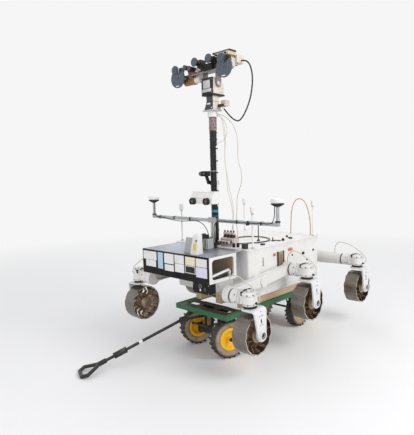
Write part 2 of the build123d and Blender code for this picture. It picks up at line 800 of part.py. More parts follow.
# Transport cart
def cart_frame():
    left, right = cart_y + frame_half, cart_y - frame_half
    low = frame_top - frame_depth
    frame = block(frame_rear, frame_front, right, left, low, frame_top)
    frame -= block(
        frame_rear + frame_wall, frame_front - frame_wall, right + frame_wall, left - frame_wall,
        low - 1, frame_top - frame_wall,
    )
    frame -= block(
        frame_rear + frame_depth, frame_front - frame_depth, right + frame_depth, left - frame_depth,
        low - 1, frame_top + 1,
    )
    for x in cross_members:
        frame += block(x - 20, x + 20, right + 2, left - 2, frame_top - frame_wall, frame_top)
    bed = block(430, frame_front - 2, right + 2, left - 2, frame_top - frame_wall, frame_top)
    for k in (-1, 0, 1):
        slot = Pos(515, cart_y + 165 * k) * Rot(0, 0, 90) * SlotOverall(124, 46)
        bed -= prism_z(slot, frame_top - frame_wall - 1, frame_top + 1)
    frame += bed
    plate = block(cart_axle_front - 60, frame_front - 2, cart_y - 130, cart_y + 130, low, low + 6)
    plate -= rod((cart_axle_front, cart_y, low - 1), (cart_axle_front, cart_y, low + 7), kingpin_radius + running_gap)
    for x in (cart_axle_front - 58, frame_front - 40):
        frame += block(x - 2, x + 38 if x > cart_axle_front else x + 2, cart_y - 130, cart_y + 130, low, frame_top - 1)
    return frame + plate


def front_axle():
    z = tyre_radius
    beam = block(
        cart_axle_front - 12, cart_axle_front + 12, cart_y - kingpin_y, cart_y + kingpin_y,
        z - axle_half_height, z + axle_half_height,
    )
    low = frame_top - frame_depth
    for s in (-1, 1):
        y = cart_y + s * kingpin_y
        beam += rod((cart_axle_front, y, z - axle_half_height), (cart_axle_front, y, z + axle_half_height), eye_radius)
    for s in (-1, 0, 1):
        y = cart_y + s * kingpin_y
        beam -= rod((cart_axle_front, y, z - 60), (cart_axle_front, y, z + 60), kingpin_radius + running_gap)
    for s in (-1, 1):
        y = cart_y + s * 70
        beam += block(cart_axle_front - 12, cart_axle_front + 12, y - 4, y + 4, z, low)
    return beam


def rear_axle():
    z = tyre_radius
    low = frame_top - frame_depth
    reach = cart_wheel_y + hub_half + nut_width
    axle = rod((cart_axle_rear, cart_y - reach, z), (cart_axle_rear, cart_y + reach, z), stub_radius)
    for s in (-1, 1):
        for y0, y1 in (
            (118, cart_wheel_y - hub_half - seat_gap),
            (cart_wheel_y + hub_half + seat_gap, reach),
        ):
            axle += rod((cart_axle_rear, cart_y + s * y0, z), (cart_axle_rear, cart_y + s * y1, z), nut_radius)
        y = cart_y + s * 118
        axle += block(cart_axle_rear - 16, cart_axle_rear + 16, y - 4, y + 4, z - 18, low)
        axle += rod((cart_axle_rear, y, z), (cross_members[0], y, low), 7)
    plate_end = cross_members[0] + 20
    axle += block(frame_rear + 2, plate_end, cart_y - 122, cart_y + 122, low - 4, low)
    x = cross_members[0]
    axle += block(x - 2, x + 2, cart_y - 122, cart_y + 122, low - 4, frame_top - frame_wall)
    return axle


def steered(shape, x=cart_axle_front, y=cart_y):
    """Turns a shape drawn at the kingpin to the parked steering angle."""
    return Pos(x, y, 0) * Rot(0, 0, steer_rest) * shape


def knuckle(side):
    z = tyre_radius
    top, bottom = z + axle_half_height + seat_gap, z - axle_half_height - seat_gap
    web = eye_radius + 3
    yoke = block(-17, 17, -14, web + 8, top, top + lug_thickness)
    yoke += block(-17, 17, -14, web + 8, bottom - lug_thickness, bottom)
    yoke += block(-17, 17, web, web + 8, bottom, top)
    yoke += rod((0, 0, bottom), (0, 0, top), kingpin_radius)
    centre = cart_wheel_y - kingpin_y
    yoke += rod((0, web, z), (0, centre + hub_half + nut_width, z), stub_radius)
    yoke += rod((0, web, z), (0, centre - hub_half - seat_gap, z), nut_radius)
    yoke += rod((0, centre + hub_half + seat_gap, z), (0, centre + hub_half + nut_width, z), nut_radius)
    arm = make_hull((Pos(4, 0) * Rectangle(8, 16)).edges() + (Pos(steer_arm - 9, 0) * Circle(9)).edges())
    yoke += prism_z(arm, arm_z - arm_thickness, arm_z)
    yoke += block(-9, 9, -9, 9, top, arm_z)
    yoke += rod((steer_arm - 9, 0, arm_z - arm_thickness), (steer_arm - 9, 0, arm_z + 14), 5)
    return steered(mirrored(yoke, side), y=cart_y + side * kingpin_y)


def tie_rod():
    """Bar that links the steering column's arm to both knuckle arms."""
    x, y = polar(steer_arm - 9, steer_rest)
    z0 = arm_z + seat_gap
    bar = block(x - 9, x + 9, y - kingpin_y, y + kingpin_y, z0, z0 + 8)
    for s in (-1, 0, 1):
        bar += rod((x, y + s * kingpin_y, z0), (x, y + s * kingpin_y, z0 + 8), 12)
    for s in (-1, 0, 1):
        bar -= rod((x, y + s * kingpin_y, z0 - 1), (x, y + s * kingpin_y, z0 + 9), 5 + running_gap)
    return Pos(cart_axle_front, cart_y, 0) * bar


def tongue():
    """Steering column with the tie rod's arm and the tongue that carries the handle."""
    low = tyre_radius + axle_half_height + seat_gap
    high = frame_top - frame_depth - seat_gap
    column = rod((0, 0, low), (0, 0, high), column_radius)
    column += rod((0, 0, tyre_radius - 10), (0, 0, high + 6), kingpin_radius)
    column += block(0, steer_arm - 9, -9, 9, arm_z - arm_thickness, arm_z)
    column += rod((steer_arm - 9, 0, arm_z - arm_thickness), (steer_arm - 9, 0, arm_z + 14), 5)
    column += block(0, tongue_length - 40, -12, 12, hinge_z - 6, hinge_z + 6)
    column += block(tongue_length - 44, tongue_length - 34, -22, 22, hinge_z - 16, hinge_z + 16)
    for s in (-1, 1):
        ear = make_hull(
            (Pos(tongue_length, hinge_z) * Circle(16)).edges()
            + (Pos(tongue_length - 36, hinge_z) * Rectangle(8, 32)).edges()
        )
        column += prism_y(ear, min(s * 16, s * 22), max(s * 16, s * 22))
    column += rod((tongue_length, -24, hinge_z), (tongue_length, 24, hinge_z), 6)
    return steered(column)


def handle_slope():
    """Angle below level of the handle with its grip on the floor."""
    return degrees(asin((hinge_z - handle_tip_z) / (handle_length - grip_radius)))


def along_handle(shape):
    """Places a shape drawn along +X from the handle's hinge."""
    return steered(Pos(tongue_length, 0, hinge_z) * Rot(0, handle_slope(), 0) * shape)


def handle():
    eye = rod((0, -15, 0), (0, 15, 0), 14)
    bar = eye + rod((8, 0, 0), (grip_start, 0, 0), handle_radius)
    bar -= rod((0, -16, 0), (0, 16, 0), 6 + running_gap)
    bar += rod((466, 0, 0), (560, 0, 0), 22)
    end = handle_length - grip_radius
    corners = ((grip_start + 16, -12), (end - 40, -grip_half), (end, -grip_half + 26), (end, grip_half - 26),
               (end - 40, grip_half), (grip_start + 16, 12))
    for a, b in zip(corners, corners[1:]):
        bar += rod((*a, 0), (*b, 0), grip_radius)
        bar += Pos(*a, 0) * Sphere(grip_radius)
    bar += Pos(*corners[-1], 0) * Sphere(grip_radius)
    bar += rod((grip_start - 50, 0, 0), (grip_start + 24, 0, 0), grip_radius + 4)
    return along_handle(bar)


# Cart wheels
def tyre():
    half, bead = tyre_width / 2, 30
    base = tyre_radius - lug_height
    body = spun(
        (tyre_bead, -bead), (rim_radius + 3, -bead), (rim_radius + 12, -half + 3), (rim_radius + 28, -half),
        (base - 7, -half + 5), (base, -half + 18), (base, half - 18), (base - 7, half - 5),
        (rim_radius + 28, half), (rim_radius + 12, half - 3), (rim_radius + 3, bead), (tyre_bead, bead),
    )
    lugs = []
    for i in range(tyre_lugs):
        for side in (-1, 1):
            angle = (i + 0.25 * side) * 360 / tyre_lugs
            y0, y1 = (side * 3, side * (half - 2))
            top = (tyre_radius**2 - lug_half**2) ** 0.5
            lugs.append(
                Rot(0, angle, 0) * block(base - 8, top, min(y0, y1), max(y0, y1), -lug_half, lug_half)
            )
    return body + lugs


def rim():
    seat, bead = tyre_bead - seat_gap, 30.3
    shell = spun(
        (seat - 10, -bead - 4), (rim_radius, -bead - 4), (rim_radius, -bead), (seat, -bead), (seat, bead),
        (rim_radius, bead), (rim_radius, bead + 4), (seat - 10, bead + 4), (seat - 16, 14),
        (24, 6), (18, 6), (18, hub_half), (stub_radius + running_gap, hub_half),
        (stub_radius + running_gap, -hub_half), (18, -hub_half), (18, -2), (24, -2), (seat - 16, 6),
    )
    return shell


def cart_wheel(part, name, side):
    """A wheel piece at its axle; the front pair is turned with its knuckle."""
    shape = Pos(0, 0, tyre_radius) * mirrored(part, side)
    if name == "front":
        return steered(Pos(0, side * (cart_wheel_y - kingpin_y), 0) * shape, y=cart_y + side * kingpin_y)
    return Pos(cart_axle_rear, cart_y + side * cart_wheel_y, 0) * shape


# Timber cradle
def cradle():
    low = body_bottom - ply_thickness
    board = block(ply_rear, ply_front, cart_y - ply_half, cart_y + ply_half, low, body_bottom)
    for s in (-1, 0, 1):
        y = cart_y + s * bearer_y
        board += block(ply_rear, ply_front, y - bearer_width / 2, y + bearer_width / 2, frame_top, low)
    return board


def leg_cable(name):
    """Cable that arches from the bogie over the steering housing to its outer side."""
    return cable(dict(leg_cable_starts)[name] + leg_cable_end, leg_cable_radius)


def cables():
    legs = [
        at_station(leg_cable(name), x, z, lean, s) for name, x, z, lean in stations for _, s in sides
    ]
    return {
        "head_cable": cable(head_cable_points, head_cable_radius),
        "side_cable": cable(side_cable_points, side_cable_radius),
        "mast_cables": Compound([cable(points, mast_cable_radius) for points in mast_cable_points]),
        "leg_cables": Compound(legs),
        "deck_cables": Compound([
            cable(deck_cable_points, deck_cable_radius), cable(arch_cable_points, arch_cable_radius)
        ]),
        "bar_cables": Compound([cable(points, bar_cable_radius) for points in bar_cable_points]),
    }


def build():
    nodes = {
        "body_tub": body_tub(), "deck_plate": deck_plate(), "nose_box": nose_box(),
        "nose_lid": nose_lid(), "nose_panel": nose_panel(), "mast_tube": mast_tube(), "mast_collar": mast_collar(),
        "mast_posts": mast_posts(), "cross_bar": cross_bar(), "satellite_antennas": satellite_antennas(),
        "radio_antennas": radio_antennas(), "stereo_camera": stereo_camera(),
        "sun_sensor": sun_sensor(), "deck_instruments": deck_instruments(),
        "connector_block": connector_block(), "pan_base": pan_base(), "pan_head": pan_head(),
        "camera_bench": camera_bench(), "filter_discs": filter_discs(), "bench_cameras": bench_cameras(),
        "bench_electronics": bench_electronics(), "bogie_left": side_bogie(1), "bogie_right": side_bogie(-1),
        "bogie_rear": rear_bogie(), "cart_frame": cart_frame(), "cart_axles": Compound([front_axle().solid(), rear_axle().solid()]),
        "knuckle_left": knuckle(1), "knuckle_right": knuckle(-1),
        "tie_rod": tie_rod(), "tongue": tongue(), "handle": handle(),
        "cradle": cradle(),
    }
    drive = actuator() + steering_housing()
    nodes["leg_drives"] = Compound([
        at_station(drive, x, z, lean, s) for _, x, z, lean in stations for _, s in sides
    ])
    rings = (bearing_ring(), actuator_ring())
    nodes.update(cables())
    nodes["bearing_rings"] = Compound([
        at_station(ring, x, z, lean, s) for _, x, z, lean in stations for _, s in sides for ring in rings
    ])
    one_wheel, one_leg = wheel(), leg()
    for name, x, z, lean in stations:
        for side, s in sides:
            nodes[f"leg_{name}_{side}"] = at_station(one_leg, x, z, lean, s)
            nodes[f"wheel_{name}_{side}"] = at_station(one_wheel, x, z, lean, s)
    one_tyre, one_rim = tyre(), rim()
    for name in ("front", "rear"):
        for side, s in sides:
            nodes[f"tyre_{name}_{side}"] = cart_wheel(one_tyre, name, s)
            nodes[f"rim_{name}_{side}"] = cart_wheel(one_rim, name, s)
    return nodes


nodes = build()
reach = tongue_length + (handle_length * cos(radians(handle_slope())))
front_most = cart_axle_front + reach * cos(radians(steer_rest)) + (grip_half - 26) * sin(radians(-steer_rest))
rear_most = stations[2][1] - wheel_radius
origin_x = (front_most + rear_most) / 2

os.makedirs("parts", exist_ok=True)
for name, shape in nodes.items():
    export_step(Pos(-origin_x, 0, 0) * shape, f"parts/{name}.step")
print("nodes", len(nodes), "origin_x", round(origin_x, 2))
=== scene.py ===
"""Looks of the planetary rover on its steered garden cart."""

import math

import bmesh
import bpy
from mathutils import Matrix, Vector


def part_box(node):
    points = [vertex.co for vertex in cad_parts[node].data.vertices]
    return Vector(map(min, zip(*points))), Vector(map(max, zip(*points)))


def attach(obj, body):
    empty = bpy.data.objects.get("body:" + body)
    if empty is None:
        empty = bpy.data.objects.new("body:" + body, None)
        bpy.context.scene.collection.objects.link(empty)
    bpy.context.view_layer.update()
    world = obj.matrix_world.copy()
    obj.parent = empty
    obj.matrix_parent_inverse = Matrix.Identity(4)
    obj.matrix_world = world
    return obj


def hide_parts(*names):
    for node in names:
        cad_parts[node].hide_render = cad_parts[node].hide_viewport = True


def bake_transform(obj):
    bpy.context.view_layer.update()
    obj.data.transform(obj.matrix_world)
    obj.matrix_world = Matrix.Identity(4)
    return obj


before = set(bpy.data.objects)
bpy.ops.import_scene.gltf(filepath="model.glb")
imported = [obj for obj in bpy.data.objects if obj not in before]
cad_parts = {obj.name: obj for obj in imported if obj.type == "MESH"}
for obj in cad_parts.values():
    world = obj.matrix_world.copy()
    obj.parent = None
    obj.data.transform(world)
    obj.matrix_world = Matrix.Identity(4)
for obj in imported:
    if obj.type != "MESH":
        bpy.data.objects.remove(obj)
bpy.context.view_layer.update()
collar_low, collar_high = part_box("mast_collar")
# The mast's place along the rover's drawing in metres, and the drawing's shift in the frame
MAST = 0.4
SHIFT = (collar_low[0] + collar_high[0]) / 2 - MAST
# Wheel stations: place along the drawing and height in metres, and the leg's lean in degrees
STATIONS = {
    "front": (0.699, 0.327, 5),
    "middle": (0.011, 0.387, 0),
    "rear": (-0.844, 0.337, 0),
}
TRACK = 1.175
SIDES = ((1, "left"), (-1, "right"))
LEGS = [(name, side, word) for name in STATIONS for side, word in SIDES]
# Degrees that the cart's front axle is steered
CART_TURN = 21.6
# Millimetres that the cart's middle lies to the left of the rover's
CART_MIDDLE = 15
UP = (0, 0, 1)
AHEAD = (1, 0, 0)
BEHIND = (-1, 0, 0)
LEFT = (0, 1, 0)


# Places and camera
def at(x, y, z):
    """A point in millimetres on the rover's drawing, as a place in the frame."""
    return Vector((x / 1000 + SHIFT, y / 1000, z / 1000))


def set_camera():
    turn = math.radians(224.05)
    dip = math.radians(-5.344)
    roll = math.radians(-1.524)
    forward = Vector((math.cos(turn) * math.cos(dip), math.sin(turn) * math.cos(dip), math.sin(dip)))
    right = forward.cross(Vector(UP)).normalized()
    up = right.cross(forward)
    level = right * math.cos(roll) + up * math.sin(roll)
    upright = up * math.cos(roll) - right * math.sin(roll)
    lens = bpy.data.cameras.new("rover_camera")
    lens.sensor_width = 36
    lens.lens = 36.66
    lens.clip_end = 100
    camera = bpy.data.objects.new("rover_camera", lens)
    axes = Matrix((level, upright, -forward)).transposed()
    camera.matrix_world = Matrix.Translation(at(2945.9, 2373.4, 1369.7)) @ axes.to_4x4()
    bpy.context.collection.objects.link(camera)
    bpy.context.scene.camera = camera


# Cable routes, in metres on the rover's drawing
HEAD_CABLE = (
    (0.296, 0.2125, 2.222), (0.297, 0.252, 2.219), (0.299, 0.29, 2.186), (0.3, 0.312, 2.128),
    (0.3, 0.317, 2.062), (0.3, 0.308, 1.994), (0.3, 0.29, 1.928), (0.3, 0.26, 1.866),
    (0.3, 0.222, 1.812), (0.301, 0.182, 1.779), (0.308, 0.146, 1.789), (0.324, 0.118, 1.817),
    (0.344, 0.1, 1.848), (0.362, 0.086, 1.878),
)
SIDE_CABLE = (
    (0.3727, 0.0273, 1.842), (0.352, 0.046, 1.84), (0.318, 0.08, 1.812), (0.286, 0.106, 1.766),
    (0.264, 0.12, 1.706), (0.254, 0.125, 1.64), (0.25, 0.122, 1.576), (0.248, 0.116, 1.514),
    (0.25, 0.132, 1.456), (0.251, 0.153, 1.398), (0.25, 0.157, 1.336), (0.249, 0.14, 1.28),
    (0.25, 0.114, 1.228), (0.252, 0.103, 1.17), (0.25, 0.101, 1.108), (0.246, 0.092, 1.048),
    (0.24, 0.084, 0.99), (0.238, 0.088, 0.93), (0.246, 0.098, 0.878), (0.246, 0.1, 0.8312),
)
DECK_CABLE = (
    (0.3388, 0.16, 0.836), (0.288, 0.172, 0.836), (0.24, 0.203, 0.836), (0.19, 0.239, 0.836),
    (0.126, 0.262, 0.836), (0.056, 0.259, 0.836), (-0.01, 0.23, 0.836), (-0.062, 0.178, 0.836),
    (-0.093, 0.112, 0.836), (-0.096, 0.04, 0.836), (-0.068, -0.024, 0.836), (-0.012, -0.064, 0.836),
    (0.058, -0.073, 0.836), (0.124, -0.048, 0.836), (0.178, -0.003, 0.836), (0.226, 0.042, 0.836),
    (0.282, 0.073, 0.836), (0.3389, 0.084, 0.836),
)
ARCH_CABLE = (
    (-0.45, 0.142, 0.8312), (-0.451, 0.143, 0.896), (-0.45, 0.146, 0.966), (-0.45, 0.152, 1.034),
    (-0.45, 0.168, 1.096), (-0.449, 0.2, 1.142), (-0.448, 0.25, 1.152), (-0.447, 0.294, 1.12),
    (-0.446, 0.322, 1.062), (-0.445, 0.338, 0.996), (-0.446, 0.346, 0.928), (-0.448, 0.345, 0.88),
    (-0.449, 0.344, 0.8312),
)
MAST_CABLES = (
    (
        (0.4, 0.0386, 1.852), (0.398, 0.054, 1.848), (0.39, 0.078, 1.816), (0.382, 0.088, 1.752),
        (0.376, 0.092, 1.688), (0.371, 0.095, 1.622), (0.37, 0.089, 1.556), (0.37, 0.088, 1.49),
        (0.37, 0.096, 1.426), (0.37, 0.106, 1.362), (0.37, 0.107, 1.296), (0.37, 0.118, 1.232),
        (0.37, 0.141, 1.172), (0.37, 0.155, 1.11), (0.369, 0.16, 1.044), (0.367, 0.157, 0.98),
        (0.363, 0.151, 0.932), (0.362, 0.149, 0.8912),
    ),
    (
        (0.3887, 0.037, 1.83), (0.382, 0.058, 1.824), (0.374, 0.09, 1.796), (0.369, 0.114, 1.748),
        (0.368, 0.118, 1.704), (0.372, 0.108, 1.662), (0.38, 0.086, 1.636), (0.39, 0.062, 1.631),
        (0.398, 0.044, 1.62), (0.4, 0.0348, 1.598),
    ),
    (
        (0.3763, 0.0305, 1.834), (0.364, 0.047, 1.828), (0.35, 0.066, 1.79), (0.345, 0.073, 1.726),
        (0.343, 0.077, 1.66), (0.343, 0.073, 1.594), (0.346, 0.07, 1.528), (0.347, 0.074, 1.462),
        (0.342, 0.082, 1.396), (0.336, 0.086, 1.33), (0.332, 0.096, 1.264), (0.329, 0.114, 1.2),
        (0.326, 0.126, 1.136), (0.324, 0.128, 1.07), (0.324, 0.122, 1.004), (0.325, 0.108, 0.942),
        (0.325, 0.098, 0.886), (0.325, 0.096, 0.8312),
    ),
)
BAR_CABLES = {
    "left": (
        (0.489, 0.631, 1.1658), (0.49, 0.633, 1.12), (0.495, 0.632, 1.074), (0.499, 0.618, 1.04),
        (0.5, 0.582, 1.031), (0.5, 0.524, 1.034), (0.499, 0.462, 1.029), (0.498, 0.4, 1.033),
        (0.498, 0.34, 1.026), (0.499, 0.282, 1.032), (0.499, 0.226, 1.027), (0.498, 0.17, 1.033),
        (0.499, 0.122, 1.03), (0.499, 0.088, 1.01), (0.491, 0.07, 0.976), (0.479, 0.062, 0.932),
        (0.47, 0.06, 0.88), (0.468, 0.06, 0.8312),
    ),
    "right": (
        (0.489, -0.631, 1.1658), (0.49, -0.633, 1.12), (0.495, -0.632, 1.074), (0.499, -0.618, 1.04),
        (0.499, -0.58, 1.028), (0.5, -0.52, 1.03), (0.499, -0.458, 1.02), (0.498, -0.396, 1.014),
        (0.498, -0.338, 1.009), (0.499, -0.28, 1.008), (0.499, -0.224, 1.012), (0.499, -0.168, 1.018),
        (0.499, -0.112, 1.02), (0.499, -0.064, 1.011), (0.491, -0.028, 0.984), (0.479, -0.008, 0.938),
        (0.47, -0.002, 0.884), (0.468, -0.002, 0.8312),
    ),
}
FORWARD_CABLE_START = ((0.008, -0.1705, 0.291), (0.009, -0.1685, 0.324), (0.011, -0.1545, 0.356))
REAR_CABLE_START = (
    (0.006, -0.2165, 0.2871), (0.006, -0.216, 0.33), (0.009, -0.198, 0.372), (0.013, -0.158, 0.396),
)
LEG_CABLE_STARTS = {"front": FORWARD_CABLE_START, "middle": FORWARD_CABLE_START, "rear": REAR_CABLE_START}
LEG_CABLE_END = (
    (0.013, -0.1155, 0.386), (0.01, -0.0695, 0.378), (0.005, -0.0295, 0.354), (0.002, 0.0125, 0.33),
    (0.001, 0.0585, 0.303), (0, 0.0825, 0.268), (0, 0.0865, 0.242), (0, 0.0775, 0.222),
    (0, 0.0534, 0.213),
)


def drawn(points):
    """A route on the drawing, moved into the frame."""
    return [Vector((x + SHIFT, y, z)) for x, y, z in points]


def at_station(name, side):
    """Turns places on one leg's own drawing into places in the frame."""
    x, z, lean = STATIONS[name]
    place = Matrix.Translation((x + SHIFT, side * TRACK / 2, z))
    return place @ Matrix.Rotation(math.radians(lean), 4, "Y") @ Matrix.Scale(side, 4, LEFT)


def cable_curve(name, points, radius):
    line = bpy.data.curves.new(name, "CURVE")
    line.dimensions = "3D"
    spline = line.splines.new("NURBS")
    spline.points.add(len(points) - 1)
    for knot, place in zip(spline.points, points):
        knot.co = (*place, 1)
    spline.order_u = 3
    spline.use_endpoint_u = True
    line.resolution_u = 8
    line.bevel_resolution = 3
    line.bevel_depth = radius
    line.use_fill_caps = True
    piece = bpy.data.objects.new(name, line)
    bpy.context.collection.objects.link(piece)
    return piece


def smooth_line(points, resolution=8):
    """Places along the smooth spline that a route's points control."""
    piece = cable_curve("route_line", points, 0)
    piece.data.use_fill_caps = False
    piece.data.resolution_u = resolution
    mesh = bpy.data.meshes.new_from_object(piece.evaluated_get(bpy.context.evaluated_depsgraph_get()))
    line = [v.co.copy() for v in mesh.vertices]
    bpy.data.meshes.remove(mesh)
    bpy.data.objects.remove(piece)
    return line


def run_length(points):
    line = smooth_line(points)
    return sum((b - a).length for a, b in zip(line, line[1:]))


def skin(shape, rings):
    """Joins rings of corners into a closed form, with both ends filled."""
    for low, high in zip(rings, rings[1:]):
        for k in range(len(low)):
            after = (k + 1) % len(low)
            shape.faces.new((low[k], low[after], high[after], high[k]))
    shape.faces.new(list(reversed(rings[0])))
    shape.faces.new(rings[-1])


def hose(name, line, radius, sides=16):
    """Closed round tube along a line of places."""
    mesh = bpy.data.meshes.new(name)
    shape = bmesh.new()
    rings = []
    across = None
    for i, place in enumerate(line):
        along = (line[min(i + 1, len(line) - 1)] - line[max(i - 1, 0)]).normalized()
        if across is None:
            across = along.orthogonal().normalized()
        across = (across - along * across.dot(along)).normalized()
        other = along.cross(across)
        turns = [2 * math.pi * k / sides for k in range(sides)]
        rings.append([
            shape.verts.new(place + radius * (across * math.cos(a) + other * math.sin(a))) for a in turns
        ])
    skin(shape, rings)
    for face in shape.faces:
        face.smooth = len(face.verts) == 4
    bmesh.ops.recalc_face_normals(shape, faces=shape.faces)
    shape.to_mesh(mesh)
    shape.free()
    piece = bpy.data.objects.new(name, mesh)
    bpy.context.collection.objects.link(piece)
    return piece


def lay_cable(name, points, radius, finish, node):
    piece = cable_curve(name, points, radius)
    piece.data.materials.append(FINISHES[finish])
    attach(piece, "root")
    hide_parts(node)
    run_length(points)


def lay_cables():
    head = drawn(HEAD_CABLE)
    line = smooth_line(head, 10)
    loop = hose("head_cable_loop", line, 0.0055)
    loop.data.materials.append(FINISHES["cable_black"])
    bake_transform(loop)
    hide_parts("head_cable")
    run_length(head)
    lay_cable("side_cable_strand", drawn(SIDE_CABLE), 0.003, "cable_light", "side_cable")
    for i, points in enumerate(MAST_CABLES):
        lay_cable(f"mast_strand_{i}", drawn(points), 0.0025, "cable_light", "mast_cables")
    lay_cable("deck_ring_cable", drawn(DECK_CABLE), 0.0045, "cable_black", "deck_cables")
    lay_cable("rear_arch_cable", drawn(ARCH_CABLE), 0.004, "cable_orange", "deck_cables")
    for side, points in BAR_CABLES.items():
        lay_cable(f"bar_cable_{side}", drawn(points), 0.003, "cable_black", "bar_cables")
    for name, side, word in LEGS:
        place = at_station(name, side)
        points = [place @ Vector(p) for p in LEG_CABLE_STARTS[name] + LEG_CABLE_END]
        lay_cable(f"leg_cable_{name}_{word}", points, 0.0035, "cable_light", "leg_cables")


# Shader nodes
def feed(tree, socket, value):
    """Puts a number, a tuple or another node's output into a socket."""
    if isinstance(value, (int, float, tuple)):
        socket.default_value = value
    else:
        tree.links.new(value, socket)


def calc(tree, operation, first, second=None, clamp=False):
    """A Math node on two sockets or numbers."""
    node = tree.nodes.new("ShaderNodeMath")
    node.operation = operation
    node.use_clamp = clamp
    feed(tree, node.inputs[0], first)
    if second is not None:
        feed(tree, node.inputs[1], second)
    return node.outputs[0]


def vector_calc(tree, operation, first, second=None):
    """A Vector Math node on two sockets or triples."""
    node = tree.nodes.new("ShaderNodeVectorMath")
    node.operation = operation
    feed(tree, node.inputs[0], first)
    if second is not None:
        feed(tree, node.inputs[1], second)
    return node.outputs["Value" if operation in ("DOT_PRODUCT", "LENGTH") else "Vector"]


def own_place(tree, kind="Object"):
    return tree.nodes.new("ShaderNodeTexCoord").outputs[kind]


def split_axes(tree, vector):
    node = tree.nodes.new("ShaderNodeSeparateXYZ")
    tree.links.new(vector, node.inputs[0])
    return node.outputs


def noise(tree, scale, detail, roughness, vector=None):
    node = tree.nodes.new("ShaderNodeTexNoise")
    feed(tree, node.inputs["Scale"], scale)
    feed(tree, node.inputs["Detail"], detail)
    feed(tree, node.inputs["Roughness"], roughness)
    feed(tree, node.inputs["Vector"], vector if vector else own_place(tree))
    return node.outputs["Fac"]


def span(tree, value, low, high):
    """Maps low to high onto nought to one, clamped."""
    node = tree.nodes.new("ShaderNodeMapRange")
    feed(tree, node.inputs["From Min"], low)
    feed(tree, node.inputs["From Max"], high)
    feed(tree, node.inputs["Value"], value)
    return node.outputs["Result"]


# Shader groups that the finishes share
def new_group(name, inputs, outputs):
    """An empty group, with its inputs and its outputs by name."""
    tree = bpy.data.node_groups.new(name, "ShaderNodeTree")
    for word, value in inputs.items():
        kind = "NodeSocketVector" if isinstance(value, tuple) else "NodeSocketFloat"
        tree.interface.new_socket(word, in_out="INPUT", socket_type=kind).default_value = value
    for word in outputs:
        tree.interface.new_socket(word, in_out="OUTPUT", socket_type="NodeSocketFloat")
    return tree, tree.nodes.new("NodeGroupInput").outputs, tree.nodes.new("NodeGroupOutput").inputs


def make_tone_and_reflection_drift():
    """Slow drift between two shades of one colour; on the nose lid it is a painted reflection, on the wheel
    plates partly one.
    """
    tree, given, result = new_group("shade_drift", {"Scale": 6.0, "Amount": 0.5}, ["Mask"])
    broad = span(tree, noise(tree, given["Scale"], 4.0, 0.6), 0.35, 0.7)
    feed(tree, result["Mask"], calc(tree, "MULTIPLY", broad, given["Amount"], True))
    return tree


def make_edge_wear_and_highlight():
    """Edges broken up by noise: rubbed paint on painted parts, and on the wheel plates wear together with a
    painted highlight.
    """
    tree, given, result = new_group("worn_edge", {"Width": 0.002, "Amount": 0.6}, ["Mask"])
    soft = tree.nodes.new("ShaderNodeBevel")
    soft.samples = 4
    feed(tree, soft.inputs["Radius"], given["Width"])
    plain = tree.nodes.new("ShaderNodeNewGeometry")
    same = vector_calc(tree, "DOT_PRODUCT", soft.outputs[0], plain.outputs["Normal"])
    edge = span(tree, calc(tree, "SUBTRACT", 1.0, same), 0.02, 0.25)
    broken = span(tree, noise(tree, 90.0, 4.0, 0.7), 0.42, 0.62)
    rubbed = calc(tree, "MULTIPLY", edge, broken)
    feed(tree, result["Mask"], calc(tree, "MULTIPLY", rubbed, given["Amount"], True))
    return tree


def make_dust():
    """Pale dust lying on what faces up."""
    tree, given, result = new_group("settled_dust", {"Amount": 0.4, "Scale": 25.0}, ["Mask"])
    facing = span(tree, split_axes(tree, own_place(tree, "Normal"))["Z"], -0.4, 1.0)
    cloud = span(tree, noise(tree, given["Scale"], 5.0, 0.65), 0.38, 0.68)
    lying = calc(tree, "MULTIPLY", facing, cloud)
    feed(tree, result["Mask"], calc(tree, "MULTIPLY", lying, given["Amount"], True))
    return tree


def make_surface_grain():
    """Fine tooth of a surface, as a height."""
    tree, given, result = new_group("surface_grain", {"Scale": 400.0, "Depth": 0.3}, ["Height"])
    fine = noise(tree, given["Scale"], 2.0, 0.5)
    feed(tree, result["Height"], calc(tree, "MULTIPLY", fine, given["Depth"]))
    return tree


def make_brushed():
    """Long fine scratches along one axis."""
    tree, given, result = new_group(
        "brushed_lines", {"Stretch": (2, 500, 500), "Depth": 0.4}, ["Mask", "Height"])
    scaled = vector_calc(tree, "MULTIPLY", own_place(tree), given["Stretch"])
    lines = noise(tree, 1.0, 3.0, 0.6, scaled)
    feed(tree, result["Mask"], span(tree, lines, 0.3, 0.7))
    feed(tree, result["Height"], calc(tree, "MULTIPLY", lines, given["Depth"]))
    return tree


def make_box_patch():
    """One inside a box in the piece's own space, nought outside."""
    tree, given, result = new_group(
        "box_patch", {"Centre": (0, 0, 0), "Half size": (0.01, 0.01, 0.01)}, ["Mask"])
    away = vector_calc(tree, "SUBTRACT", own_place(tree), given["Centre"])
    share = vector_calc(tree, "DIVIDE", away, given["Half size"])
    axes = split_axes(tree, vector_calc(tree, "ABSOLUTE", share))
    most = calc(tree, "MAXIMUM", calc(tree, "MAXIMUM", axes["X"], axes["Y"]), axes["Z"])
    feed(tree, result["Mask"], calc(tree, "LESS_THAN", most, 1.0))
    return tree


def make_axle_distance():
    """Distance from an axle line."""
    tree, given, result = new_group("axle_distance", {"Centre": (0, 0, 0), "Axle": (0, 1, 0)}, ["Distance"])
    away = vector_calc(tree, "SUBTRACT", own_place(tree), given["Centre"])
    cross = vector_calc(tree, "CROSS_PRODUCT", away, given["Axle"])
    feed(tree, result["Distance"], vector_calc(tree, "LENGTH", cross))
    return tree


GROUPS = {
    "drift": make_tone_and_reflection_drift(), "edge": make_edge_wear_and_highlight(), "dust": make_dust(), "grain": make_surface_grain(),
    "brushed": make_brushed(), "patch": make_box_patch(), "axle": make_axle_distance(),
}


# Finishes
DUST = (0.52, 0.43, 0.33)


